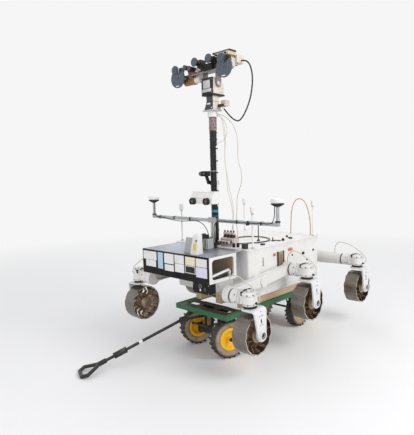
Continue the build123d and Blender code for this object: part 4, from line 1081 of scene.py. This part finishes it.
def curve_through(knots, steps):
    """Catmull-Rom curve through (radius, angle) knots."""
    line = []
    for k in range(len(knots) - 1):
        near = (knots[max(k - 1, 0)], knots[k], knots[k + 1], knots[min(k + 2, len(knots) - 1)])
        for t in [s / steps for s in range(steps)]:
            line.append([
                0.5 * (2 * p1 + (p2 - p0) * t + (2 * p0 - 5 * p1 + 4 * p2 - p3) * t * t
                       + (3 * p1 - p0 - 3 * p2 + p3) * t ** 3)
                for p0, p1, p2, p3 in zip(*near)])
    return line + [knots[-1]]


def spring_leaf():
    """One S-bent leaf spring between the hub and a plate, in two strips."""
    shape = bmesh.new()
    bends = [
        (49, 0.0), (62, 0.05), (76, 0.2), (88, 0.3), (98, 0.24), (108, 0.06), (120, -0.08), (130, -0.06),
        (134.5, 0.05)]
    flat = [on_wheel(radius, 0, angle) for radius, angle in curve_through(bends, 4)]
    for low, high in ((-46, -8), (8, 46)):
        line = []
        for i, place in enumerate(flat):
            tangent = (flat[min(i + 1, len(flat) - 1)] - flat[max(i - 1, 0)]).normalized()
            normal = Vector((tangent.z, 0, -tangent.x))
            waist = 3 * math.sin(math.pi * i / (len(flat) - 1))
            corners = ((low + waist, 1.1), (high - waist, 1.1), (high - waist, -1.1), (low + waist, -1.1))
            line.append([shape.verts.new(place + Vector((0, y, 0)) + normal * n) for y, n in corners])
        skin(shape, line)
    return shape


def wheel_hub():
    """Domed drum hub with its clamp rings, in the wheel's own space, open side outwards."""
    shape = bmesh.new()
    drum = [
        (0, 0), (0, 16), (3, 22), (3.6, 30), (10, 40), (13.5, 44), (14, 47), (19, 50.5), (26, 53), (27, 56),
        (34, 56), (36, 53), (70, 53), (72, 56), (127, 56), (129, 53), (130, 40), (133, 38), (136, 30),
        (136, 17), (100, 16.8), (100, 0)]
    turned(shape, (0, -78, 0), LEFT, drum, 48)
    for y in (-46, 10):
        turned(shape, (0, y, 0), LEFT, [(0, 50), (0, 58.5), (4, 58.5), (4, 50)], 48)
    return shape


def mesh_of(shape, name):
    bmesh.ops.remove_doubles(shape, verts=shape.verts, dist=1e-4)
    bmesh.ops.recalc_face_normals(shape, faces=shape.faces)
    mesh = bpy.data.meshes.new(name)
    shape.to_mesh(mesh)
    shape.free()
    mesh.transform(Matrix.Scale(0.001, 4))
    return mesh


def spring_wheels():
    """Six wheels of lapped plates on leaf springs."""
    parts = {}
    for part, draw, finish in (("tread", wheel_plate, "steel_plate"), ("lips", plate_lip, "bright_lip"),
                               ("springs", spring_leaf, "spring_bronze")):
        parts[part] = grown(part, mesh_of(draw(), "one_" + part), ROUND, Count=PLATES, Axis=(0.0, 1.0, 0.0),
                            Finish=FINISHES[finish])
    parts["hub"] = mesh_of(wheel_hub(), "hub")
    parts["hub"].materials.append(FINISHES["hub_bronze"])
    bolts = circle((0, -70, 0), (0, -1, 0), 27, 6) + circle((0, -52, 0), (0, -1, 0), 53.5, 12)
    for name, side, word in LEGS:
        place = at_station(name, side)
        body = f"wheel_{name}_{word}"
        for part, source in parts.items():
            mesh = source.copy()
            mesh.transform(place)
            if side < 0:
                mesh.flip_normals()
            piece = put_mesh(f"{part}_{name}_{word}", mesh, body, 30.0)
            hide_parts(body)
        screw_set(f"hub_screws_{name}_{word}", body, DARK, bolts, 2.6, 3, place=place)


# Legs and steering housings, each on its leg's own drawing
def leg_fittings():
    cheek = 86
    recesses = [
        ((-6.2, cheek - 4.6, low), (6.2, cheek - 3.0, high), 0.3, 1)
        for low, high in ((84, 124), (143, 157))]
    ring = [(0, 13.4), (0, 23), (1.2, 23), (1.8, 21.5), (1.8, 15), (1.2, 13.4)]
    screws = [((x, cheek, z), LEFT) for x, z in (
        (-14, 134), (14, 134), (-14, 72), (14, 72), (0, 166), (-24, 20), (24, 20))]
    screws += [((x, y, 178), UP) for x, y in ((-52, 0), (52, 0), (-52, 40), (52, 40))]
    heads = circle((0, 0, 293.3), UP, 30, 6, 0.4)
    for angle in [2 * math.pi * (k + 0.5) / 8 for k in range(8)]:
        out = Vector((math.cos(angle), math.sin(angle), 0))
        if out.y > -0.3:
            heads += [(out * 51.6 + Vector((0, 0, z)), out) for z in (206, 272)]
    for angle in [2 * math.pi * (k + 0.5) / 6 for k in range(6)]:
        out = Vector((math.cos(angle), 0, math.sin(angle)))
        heads.append((out * 49.6 + Vector((0, -92, 235)), out))
    for name, side, word in LEGS:
        place = at_station(name, side)
        end = f"{name}_{word}"
        body = "leg_" + end
        draw_piece(
            "leg_recess_" + end, "black_plate", body, recesses,
            [((0, cheek + 3.2, 0), LEFT, solid((0, 12.6), (2, 12.6), (3, 9), (3, 5), (1, 4)), 24)], place)
        draw_piece("hub_ring_" + end, "worn_steel", body, (), [
            ((0, cheek + 9.7, 0), LEFT, ring, 40)], place)
        screw_set("leg_screws_" + end, body, DARK, screws, 2.5, 2, place=place)
        screw_set("drive_screws_" + end, "root", DARK, heads, 3.4, 2.6, place=place)
        draw_piece(
            "drive_blocks_" + end, "black_plate", "root",
            [((-17, -47, 286), (17, -23, 291), 2)]
            + [((x - 7, -38, 262), (x + 7, -16, 290.5), 2) for x in (-38, 38)],
            [((0, 38, 213), LEFT, solid((0, 9), (17, 9), (19, 6.5), (27, 6.5)), 20)], place)
        draw_piece("drive_bands_" + end, "silver", "root", (), [
            ((0, 0, 205), UP, [(0, 50), (0, 53.4), (5, 53.4), (5, 50)], 48),
            ((0, 0, 262), UP, [(0, 50), (0, 53), (3, 53), (3, 50)], 48),
            ((0, -72, 235), LEFT, [(0, 48), (0, 51.5), (5, 51.5), (5, 48)], 48)], place)


# Nose, with its plates as tint, two ends across, top and foot
NOSE_PLATES = (
    ("white", -344, -188, 813, 749), ("white", -314, -196, 747, 697), ("blue", -172, -115, 815, 693),
    ("white", -100, 4.5, 815, 741), ("white", -96, 4.5, 734, 687), ("white", 14, 113, 815, 754),
    ("white", 16, 113, 752, 691), ("cream", 126, 224, 813, 754), ("white", 124, 226, 751, 697),
    ("white", 232, 337, 812, 755), ("lilac", 232, 337, 752, 682),
)
TINTS = {
    "white": (0.8, 0.8, 0.78), "blue": (0.42, 0.6, 0.72),
    "cream": (0.8, 0.72, 0.5), "lilac": (0.7, 0.68, 0.82),
}


def nose_details():
    front = 854
    plates, rivets, patches = [], [], []
    for tint, y0, y1, z1, z0 in NOSE_PLATES:
        plates.append(((front - 1, y0, z0), (front + 1.6, y1, z1), 0.5))
        rivets += [((front + 1.5, y, z), AHEAD) for y in (y0 + 5, y1 - 5) for z in (z0 + 5, z1 - 5)]
        if tint != "white":
            patches.append(((front - 4, y0 - 1, z0 - 1), (front + 4, y1 + 1, z1 + 1), TINTS[tint]))
    FINISHES["plate_enamel"] = coat_finish(
        "blank_plate_enamel", TINTS["white"], (0.68, 0.67, 0.64), 0.36, drift=(14.0, 0.6),
        edge=(0.001, 0.7, (0.4, 0.38, 0.34)), dust=(0.35, 30.0), patches=patches)
    draw_piece("nose_blank_plates", "plate_enamel", "root", plates)
    screw_set("nose_plate_rivets", "root", BRIGHT, rivets, 1.2, 0.7, 12)
    draw_piece("nose_dark_plate", "black_plate", "root", [
        ((front + 1, 129, 702), (front + 2.2, 221, 746), 0.4)])
    edge = [((front, y, z), AHEAD) for y in range(-340, 341, 85) for z in (820, 651)]
    screw_set("nose_panel_screws", "root", DARK, edge, 2.4, 1.8)
    lid = rows([((500, y, 826), (836, y, 826)) for y in (-345, 345)], 6, UP)
    lid += rows([((x, -270, 826), (x, 270, 826)) for x in (838, 492)], 7, UP)
    screw_set("nose_lid_screws", "root", BRIGHT, lid, 2.6, 1.8)
    draw_piece("nose_window_trim", "white_frame", "root", [
        ((823, -353, 662), (828, -341.5, 806), 1.5), ((823, 341.5, 662), (828, 353, 806), 1.5),
        ((578, -338, 648), (838, 338, 651))])
    nose_inside()
    draw_piece("housing_lens_rings", "worn_steel", "root", (), [
        ((853, 268, 622), AHEAD, solid((0, 15), (1.2, 15), (1.2, 11), (-1.0, 10)), 32),
        ((853, 312, 604), AHEAD, solid((0, 10), (1.2, 10), (1.2, 7), (-0.5, 6)), 24)])
    draw_piece("housing_lenses", "lens_dark", "root", (), [
        ((852, 268, 622), AHEAD, solid((0, 10.5), (1.2, 10), (2.3, 5), (2.6, 0)), 32),
        ((852.5, 312, 604), AHEAD, solid((0, 6.8), (1, 6), (1.8, 3), (2, 0)), 24)])
    draw_piece("housing_label", "plate_enamel", "root", [
        ((853.5, 262, 588), (855, 274, 604), 0.4)])
    screw_set("housing_screws", "root", ("black_steel", "silver"), [
        ((front, y, z), AHEAD) for y in (203, 346) for z in (580, 634)], 2.2, 1.6)


def nose_inside():
    """Tube, pipe and shelf that show through the nose windows."""
    draw_piece("nose_inner_tube", "black_plate", "root", [
        ((655, 312, 652), (672, 334, 662), 2), ((755, 309, 652), (772, 331, 660), 2),
    ], [((640, 322, 672), (1, -0.02, -0.05), solid((0, 11), (6, 13), (150, 13), (156, 11)), 24)])
    draw_piece("nose_inner_pipe", "white_plastic", "root", [
        ((604, 300, 652), (616, 330, 700), 2),
    ], [((610, 316, 704), (1, 0, -0.13), solid((0, 8), (4, 10), (196, 10), (200, 8)), 24)])
    draw_piece("nose_inner_shelf", "bare_aluminium", "root", [
        ((604, 250, 651), (808, 338, 655), 1)])


# Deck and body
def deck_details():
    top = 831
    screws = rows([((-505, y, top), (465, y, top)) for y in (376, -376)], 12, UP)
    screws += rows([((x, -300, top), (x, 300, top)) for x in (-508, 468)], 7, UP)
    screw_set("deck_screws", "root", BRIGHT, screws, 3, 2)
    foot = top - 1
    draw_piece("deck_fittings", "black_plate", "root", [
        ((214, 322, foot), (246, 346, top + 12), 3), ((-20, 268, foot), (34, 290, top + 6), 2),
        ((-20, 300, foot), (-2, 332, top + 7), 2), ((-190, 300, foot), (-168, 330, top + 12), 3),
    ], [
        ((20, 279, top + 4), UP, solid((0, 5), (26, 3.5), (30, 0)), 16),
        ((-49, 330, foot), UP, solid((0, 13), (10, 13), (14, 9), (20, 9)), 20),
        *[((x, y, foot), UP, solid((0, 11), (8, 11), (12, 8), (16, 8)), 20)
          for x, y in ((-240, 240), (60, -210), (180, -260))]])
    body_side()


def body_side():
    """Knob, latch, catches and small fittings on the left side, and their like on the right."""
    face = 380
    foot = face - 1
    screws = rows([((-490, face, z), (440, face, z)) for z in (800, 480)], 11, LEFT)
    screws += [((x, face, z), LEFT) for x in (36, 80) for z in (650, 754)]
    for side, word in SIDES:
        place = mirrored(side)
        draw_piece(f"side_knobs_{word}", "knob_red", "root", [
            ((-104, foot, 750), (-46, face + 9, 772), 4),
        ], [
            ((148, foot, 750), LEFT, solid((0, 7), (5, 7), (6, 12), (14, 12.5), (17, 10), (18, 0)), 20),
            ((-75, face + 8, 760), LEFT, solid((0, 9), (7, 8), (8, 0)), 20)], place)
        draw_piece(f"side_fittings_{word}", "black_plate", "root", [
            ((92, foot, 636), (108, face + 6, 765), 3), ((14, foot, 652), (24, face + 6, 765), 3),
            ((-286, foot, 690), (-252, face + 5, 712), 2), ((-440, foot, 698), (-422, face + 5, 716), 2),
        ], [
            ((-103, foot, 709), LEFT, solid((0, 7), (6, 7), (8, 5)), 16),
            ((-330, foot, 640), LEFT, solid((0, 9), (7, 9), (9, 6)), 16),
            *[((x, foot, 560), LEFT, solid((0, 8), (5, 8), (7, 6), (8, 6)), 18)
              for x in (330, 372, 414)]], place)
        draw_piece(f"side_latch_{word}", "latch_brown", "root", [
            ((28, foot, 640), (88, face + 2.5, 762), 1.5), ((40, face + 2, 664), (50, face + 9, 742), 3),
            ((64, face + 2, 664), (74, face + 9, 742), 3), ((286, foot, 680), (294, face + 5, 748), 2.5)],
            place=place)
        screw_set(f"side_screws_{word}", "root", BRIGHT, screws, 2.6, 1.8, place=place)
    rear = rows([((-512, -340, z), (-512, 340, z)) for z in (800, 480)], 8, BEHIND)
    screw_set("rear_screws", "root", BRIGHT, rear, 2.6, 1.8)


def connectors():
    """Pale connector bodies, plugs and clips crowded round the junction box."""
    pale, dark = [], []
    for y in (86, 116, 146, 176):
        pale += [
            ((441, y, 865), AHEAD, solid((0, 12.5), (3, 13.5), (12, 13.5), (14, 11), (24, 10)), 20),
            ((384, y, 916), UP, solid((0, 11.5), (3, 12.5), (11, 12.5), (13, 10), (19, 9)), 20),
            ((356, y - 8, 890), UP, solid((0, 8), (12, 8), (13, 10), (22, 10), (24, 7)), 16)]
        dark += [
            ((464, y, 865), AHEAD, solid((0, 9), (10, 7.5), (15, 4)), 16),
            ((384, y, 934), UP, solid((0, 8), (9, 6.5), (14, 4)), 16)]
    draw_piece("pale_connectors", "rose_plastic", "root", [
        ((344, 66, 840), (416, 71, 884), 2), ((346, 189, 838), (410, 195, 880), 2)], pale)
    plugs = ((440, 222, 830), (412, 240, 830), (470, -70, 830), (500, 90, 825), (448, -40, 830))
    draw_piece("dark_plugs", "black_plate", "root", [
        ((x - 9, y - 8, foot), (x + 9, y + 8, 862), 3) for x, y, foot in plugs], dark)


# Mast
def mast_details():
    wrap = [(1 + 3.7 * k, 29.2 + 0.9 * (k % 2) + 0.3 * math.sin(k * 2.3)) for k in range(27)]
    draw_piece("mast_wrap", "rust_wrap", "root", (), [
        ((400, 0, 1717), UP, [(0, 27), *wrap, (101, 27)], 40)])
    for name, low, high, finish in (
            ("blue_tape", 1085, 1105, "blue_tape"), ("lower_tape", 1048, 1060, "green_tape"),
            ("upper_tape", 1402, 1412, "rust_wrap")):
        rise = high - low
        tape = [(0, 27), (0, 28.1), (rise * 0.5, 28.5), (rise, 28.0), (rise, 27)]
        draw_piece(name, finish, "root", (), [((400, 0, low), UP, tape, 40)])
    heights = (940, 1010, 1142, 1276, 1352, 1450, 1530, 1590, 1650, 1700)
    draw_piece("mast_ties", "cable_black", "root", [
        ((364, 4, z - 1), (374, 12, z + 6), 1) for z in heights
    ], [
        *[((400, 0, z), UP, [(0, 27), (0, 30.2), (5, 30.2), (5, 27)], 32) for z in heights],
        *[((400, 34.8, z), UP, [(0, 6.5), (0, 8.6), (8, 8.6), (8, 6.5)], 20)
          for z in (1150, 1250, 1390, 1480, 1575)]])
    screw_set("mast_foot_bolts", "root", BRIGHT, circle((400, 0, 841), UP, 39, 8, 0.2), 4, 4)
    outs = [Vector((math.cos(a), math.sin(a), 0)) for a in [k * math.pi / 3 + 0.3 for k in range(6)]]
    collar = [(Vector((400, 0, 1843)) + 38 * out, out) for out in outs]
    screw_set("collar_screws", "root", BRIGHT, collar, 2.6, 1.6)
    camera_glass()


def camera_glass():
    """Lenses and covers of the stereo camera, the small camera and the sun sensor."""
    big_lens = solid((0, 18.8), (3, 18.4), (5.2, 12), (6.2, 5), (6.4, 0))
    draw_piece("dark_lenses", "lens_dark", "root", (), [
        ((579, -70, 1180), AHEAD, big_lens, 40),
        ((504, -48, 1388), AHEAD, solid((0, 12), (1.6, 11.6), (2.6, 6), (2.9, 0)), 32),
        ((504, -12, 1388), AHEAD, solid((0, 9), (1.6, 8.6), (2.4, 5), (2.6, 0)), 32),
        ((786.5, 194, 920), (1, 0, 0.08), solid((0, 10.6), (1.5, 10), (3, 5), (3.4, 0)), 32)])
    draw_piece("rose_lens", "lens_red", "root", (), [((579, 74, 1180), AHEAD, big_lens, 40)])
    barrel = [
        (0, 23), (0, 27), (5, 27), (6, 25.5), (12, 25.5), (12.6, 24.8), (19, 24.8), (20, 25.6), (26, 25.6),
        (27, 24), (27, 19), (18, 18.6), (18, 23)]
    draw_piece("lens_barrels", "black_plate", "root", (), [
        ((562, y, 1180), AHEAD, barrel, 40) for y in (-70, 74)])
    draw_piece("stereo_cover_lip", "white_plastic", "root", [
        ((483, -109, 1249), (536, 123, 1252), 1), ((548, -104, 1206), (564, -12, 1209), 1)])
    screws = [((x, y, 1252), UP) for x in (490, 528) for y in (-100, 7, 114)]
    screw_set("stereo_screws", "root", BRIGHT, screws, 2.2, 1.5)
    lean = Matrix.Translation(at(816.2, 187, 880)) @ Matrix.Rotation(-math.atan(23 / 142), 4, "Y")
    draw_piece("sensor_blank_label", "label_yellow", "root", [
        ((-1, -15, -24), (1.4, 17, 24), 0.5)], place=lean)


def bar_details():
    """Ties, feet and cones of the cross bar's antennas, and feet of the radio antennas."""
    masts = [(481, -651), (481, 651)]
    draw_piece("bar_ties", "cable_black", "root", [
        *[((466.6, y - 1.6, 1016.6), (502.6, y + 1.6, 1045.4), 1.5)
          for y in (-560, -380, -190, 110, 300, 404, 520)],
        ((488, 392, 1012), (508, 416, 1034), 5),
    ], [
        *[((*mast, 1044), UP, [(0, 11), (0, 19), (8, 19), (12, 14), (12, 11)], 24) for mast in masts],
        *[((*mast, 1150), UP, [(0, 11), (0, 15), (10, 17), (15.5, 17), (15.5, 11)], 24) for mast in masts]])
    cone = [(0, 12), (0, 20), (11, 40), (14.5, 45.6), (20, 46.4), (20, 12)]
    draw_piece("antenna_cones", "black_plate", "root", (), [
        ((*mast, 1153), UP, cone, 40) for mast in masts])
    screws = [((465, y, z), BEHIND) for y in (4, 52) for z in (1018, 1044)]
    screws += [((494, y, 1031), AHEAD) for y in (-636, -655, 636, 655)]
    screw_set("bar_screws", "root", BRIGHT, screws, 3, 2.4)
    corners = ((409, 379), (409, -379), (-429, 379), (-429, -379))
    draw_piece("antenna_feet", "silver", "root", (), [
        *[((*corner, 831), UP, solid((0, 14), (3, 14), (5, 11), (12, 10)), 24) for corner in corners],
        *[((*corner, 1080), UP, [(0, 6), (0, 10), (6, 10), (8, 8), (8, 6)], 24) for corner in corners]])


# Pan and tilt head
def head_details():
    draw_piece("pan_front_plates", "blank_silver", "pan", [
        ((458, -36, 2032), (461, 36, 2092), 0.8), ((458, -48, 2004), (461.5, 48, 2028), 0.8),
        ((461, -26, 2040), (462.5, 26, 2084), 0.5)])
    for side, word in SIDES:
        place = mirrored(side)
        draw_piece(f"pan_side_cover_{word}", "cream_paint", "pan", [
            ((348, 57.5, 1998), (452, 62.5, 2040), 2)], place=place)
        draw_piece(f"tilt_cap_{word}", "silver", "pan", (), [
            ((400, 72.5, 2066), LEFT, solid((0, 17), (3, 17), (4.5, 13), (4.5, 6), (3, 5)), 32)], place)
        screw_set(f"pan_side_screws_{word}", "pan", DARK, [
            ((x, 62.4, z), LEFT) for x in (354, 446) for z in (2004, 2034)], 2.2, 1.6, place=place)
    front = [((458.9, y, z), AHEAD) for y in (-50, 50) for z in (2098, 1998)]
    screw_set("pan_front_screws", "pan", BRIGHT, front, 2.6, 1.8)
    flange = [((x, y, 1872.3), UP) for x in (350, 450) for y in (-50, 50)]
    screw_set("flange_screws", "pan", BRIGHT, flange, 3.2, 3)
    draw_piece("foot_label", "white_plastic", "pan", [
        ((436.4, -22, 1914), (438.2, 14, 1926), 0.5),
    ], [((436.6, 26, 1889), AHEAD, solid((0, 5), (1.5, 5), (2.5, 3), (2.7, 0)), 16)])
    draw_piece("neck_band", "dark_bearing", "pan", [
        ((370.2, -26.8, 1934), (437.8, 40.8, 1937), 0.8)])
    draw_piece("pan_base_strip", "black_plate", "pan", [
        ((320, -57, 1979), (457, 59, 1990.4), 1.5)])
    bench_details()


def bench_details():
    discs = (188, -307)
    small_discs = (-105, 43)
    cluster = ((-208, 2218), (-158, 2203))
    draw_piece("disc_blank_labels", "white_plastic", "tilt", [
        ((473.5, y - 18, 2089), (475.4, y + 16, 2097), 0.4) for y in discs])
    screws = []
    for y in discs:
        screws += circle((474, y, 2155), AHEAD, 22, 4, 0.4) + circle((479, y - 30, 2223), AHEAD, 22, 5, 0.2)
    screw_set("disc_screws", "tilt", ("grey_disc", "grey_disc"), screws, 2, 1.2)
    draw_piece("small_disc_faces", "grey_disc", "tilt", (), [
        ((483.5, y, 2242), AHEAD, solid((0, 30), (1.2, 29), (1.6, 12), (2.4, 10)), 40) for y in small_discs])
    draw_piece("cluster_lenses", "lens_dark", "tilt", (), [
        ((489, y, z), AHEAD, solid((0, 15), (2, 14), (3.4, 7), (3.8, 0)), 32) for y, z in cluster])
    clamp = [(0, 15), (0, 19.4), (4, 19.4), (5, 18), (20, 18), (21, 19), (26, 19), (26, 15)]
    small_clamp = [(0, 15), (0, 20), (3, 20), (4, 18.8), (10, 18.8), (10, 15)]
    draw_piece("lens_clamps", "black_plate", "tilt", [
        ((384, y + low, 2214), (424, y + high, 2260), 0.5)
        for y in small_discs for low, high in ((-25, -23.6), (23.6, 25))
    ], [
        *[((446, y, z), AHEAD, clamp, 32) for y, z in cluster],
        *[((462, y, 2242), AHEAD, small_clamp, 32) for y in small_discs]])
    draw_piece("middle_camera_box", "black_plate", "tilt", [
        ((386, -58, 2172.8), (433, 18, 2214), 3), ((431, -56, 2172.8), (446, 44, 2219), 2),
    ], [
        ((445, y, 2196), AHEAD, solid((0, 9), (5, 9), (7, 7), (7, 4), (5, 3.4)), 24)
        for y in (-40, -12, 16)])
    draw_piece("bench_connectors", "rose_plastic", "tilt", (), [
        ((429, y, z), AHEAD, solid((0, 8), (13, 8), (15, 6), (22, 6)), 20)
        for y, z in ((-112, 2199), (-92, 2187), (-118, 2182))])
    draw_piece("electronics_fins", "gold_fittings", "tilt", [
        ((x, 76, 2250), (x + 5, 205.4, 2275), 1) for x in range(352, 430, 13)
    ], [
        ((x, y, 2286), UP, solid((0, 4), (3, 4), (4, 2.5)), 16) for x in (358, 424) for y in (50, 200)])
    draw_piece("electronics_sockets", "black_plate", "tilt", (), [
        *[((435, y, 2262), AHEAD, solid((0, 7), (6, 7), (8, 5), (14, 5)), 16) for y in (88, 118, 148, 178)],
        *[((345, y, 2192), BEHIND, solid((0, 5), (8, 5), (10, 3), (16, 3)), 16)
          for y in (118, 140, 162, 184)]])
    rails = rows([((x, -330, 2173), (x, -240, 2173)) for x in (372, 428)], 3, UP)
    screw_set("bench_screws", "tilt", BRIGHT, rails, 2.6, 1.8)
    draw_piece("lamp_bands", "brass", "tilt", (), [
        *[((402, y, 2124), LEFT, [(0, 26), (0, 28.2), (6, 28.2), (6, 26)], 32)
          for y in (-266, -240, -214, -192)],
        ((402, -286, 2124), LEFT, solid((0, 20), (2.5, 24), (3, 0)), 32)])


# Cart
def cart_details():
    bolts = [((x, CART_MIDDLE + s * 276, 333), (0, s, 0)) for x in range(-560, 600, 145) for s in (-1, 1)]
    bolts += [
        ((x, y, 333), facing)
        for y in (-230, -120, 15, 150, 260) for x, facing in ((610, AHEAD), (-590, BEHIND))]
    screw_set("frame_bolts", "root", ("green_paint", "green_paint"), bolts, 5, 3)
    screws = [
        ((x, CART_MIDDLE + y, 460), UP) for x in (-540, -310, -80, 150, 380) for y in (-205, -245, 205, 245)]
    screw_set("timber_screws", "root", DARK, screws, 4, 1.5, 12)
    draw_piece("frame_lips", "green_paint", "root", [
        ((-586, CART_MIDDLE + low, 352.7), (606, CART_MIDDLE + high, 356), 0.8)
        for low, high in ((-272, -256), (256, 272))])


def handle_details():
    """White band and end rings on the pull handle, along its own slope."""
    axle = Matrix.Translation(at(481, CART_MIDDLE, 0)) @ Matrix.Rotation(math.radians(-CART_TURN), 4, "Z")
    slope = math.asin((280 - 13.3) / (827 - 13))
    place = axle @ Matrix.Translation((0.254, 0, 0.28)) @ Matrix.Rotation(slope, 4, "Y")
    draw_piece("handle_white_band", "white_plastic", "handle", (), [
        ((336, 0, 0), AHEAD, [(0, 10), (0, 12.2), (1, 12.6), (27, 12.6), (28, 12.2), (28, 10)], 32)], place)
    draw_piece("handle_rings", "black_plate", "handle", (), [
        *[((x, 0, 0), AHEAD, [(0, 20), (0, 23.4), (6, 23.4), (6, 20)], 32) for x in (464, 512, 556)],
        *[((x, 0, 0), AHEAD, [(0, 15), (0, 18), (5, 18), (5, 15)], 32) for x in (630, 650, 670)]], place)


# Stage and lights
BACKDROP = 0.92


def seen_directly(tree):
    """One for the camera's rays, also through glass and off shiny faces."""
    rays = tree.nodes.new("ShaderNodeLightPath").outputs
    seen = calc(tree, "MAXIMUM", rays["Is Camera Ray"], rays["Is Glossy Ray"])
    return calc(tree, "MAXIMUM", seen, rays["Is Transmission Ray"])


def choose_shader(tree, mask, first, second, surface):
    """Shows the first shader, and the second where the mask is one."""
    node = tree.nodes.new("ShaderNodeMixShader")
    for socket, value in zip(node.inputs, (mask, first, second)):
        feed(tree, socket, value)
    feed(tree, surface, node.outputs[0])


def set_floor():
    """A pale floor that turns into the white backdrop far from the rover."""
    mesh = bpy.data.meshes.new("studio_floor")
    shape = bmesh.new()
    bmesh.ops.create_grid(shape, x_segments=2, y_segments=2, size=30)
    shape.to_mesh(mesh)
    shape.free()
    floor = bpy.data.objects.new("studio_floor", mesh)
    bpy.context.collection.objects.link(floor)
    finish, tree, shader = start_finish("pale_floor", 0.9)
    feed(tree, shader.inputs["Base Color"], drifting(tree, (0.86, 0.85, 0.84), (0.83, 0.82, 0.81), 1.5, 0.3))
    far = span(tree, vector_calc(tree, "LENGTH", own_place(tree)), 2.6, 7.0)
    backdrop = tree.nodes.new("ShaderNodeEmission")
    backdrop.inputs["Strength"].default_value = BACKDROP
    shown = calc(tree, "MULTIPLY", far, seen_directly(tree))
    choose_shader(tree, shown, shader.outputs[0], backdrop.outputs[0],
                  tree.nodes["Material Output"].inputs["Surface"])
    floor.data.materials.append(finish)


def set_room():
    """Soft cool light from all round, seen as a white backdrop."""
    world = bpy.data.worlds.new("soft_room")
    bpy.context.scene.world = world
    world.use_nodes = True
    tree = world.node_tree
    light = tree.nodes["Background"]
    light.inputs["Color"].default_value = (0.93, 0.95, 1.0, 1)
    light.inputs["Strength"].default_value = 0.72
    backdrop = tree.nodes.new("ShaderNodeBackground")
    backdrop.inputs["Color"].default_value = (1, 1, 1, 1)
    backdrop.inputs["Strength"].default_value = BACKDROP
    choose_shader(tree, seen_directly(tree), light.outputs[0], backdrop.outputs[0],
                  tree.nodes["World Output"].inputs["Surface"])


def add_lamp(name, place, target, size, power):
    lamp = bpy.data.lights.new(name, "AREA")
    lamp.shape = "SQUARE"
    lamp.size = size
    lamp.energy = power
    holder = bpy.data.objects.new(name, lamp)
    aim = (Vector(target) - Vector(place)).to_track_quat("-Z", "Y")
    holder.matrix_world = Matrix.Translation(place) @ aim.to_matrix().to_4x4()
    bpy.context.collection.objects.link(holder)


set_camera()
lay_cables()
dress_nodes()
spring_wheels()
leg_fittings()
nose_details()
deck_details()
connectors()
mast_details()
bar_details()
head_details()
cart_details()
handle_details()
bpy.context.scene.view_settings.view_transform = "Standard"
set_floor()
set_room()
add_lamp("key_panel", (-0.5, 5.2, 4.4), (0, 0, 0.9), 3.2, 190)
add_lamp("front_panel", (5.0, 0.6, 3.2), (0, 0, 0.9), 3.5, 60)
add_lamp("rear_panel", (-4.0, -3.5, 4.2), (0, 0, 1.0), 3.5, 60)
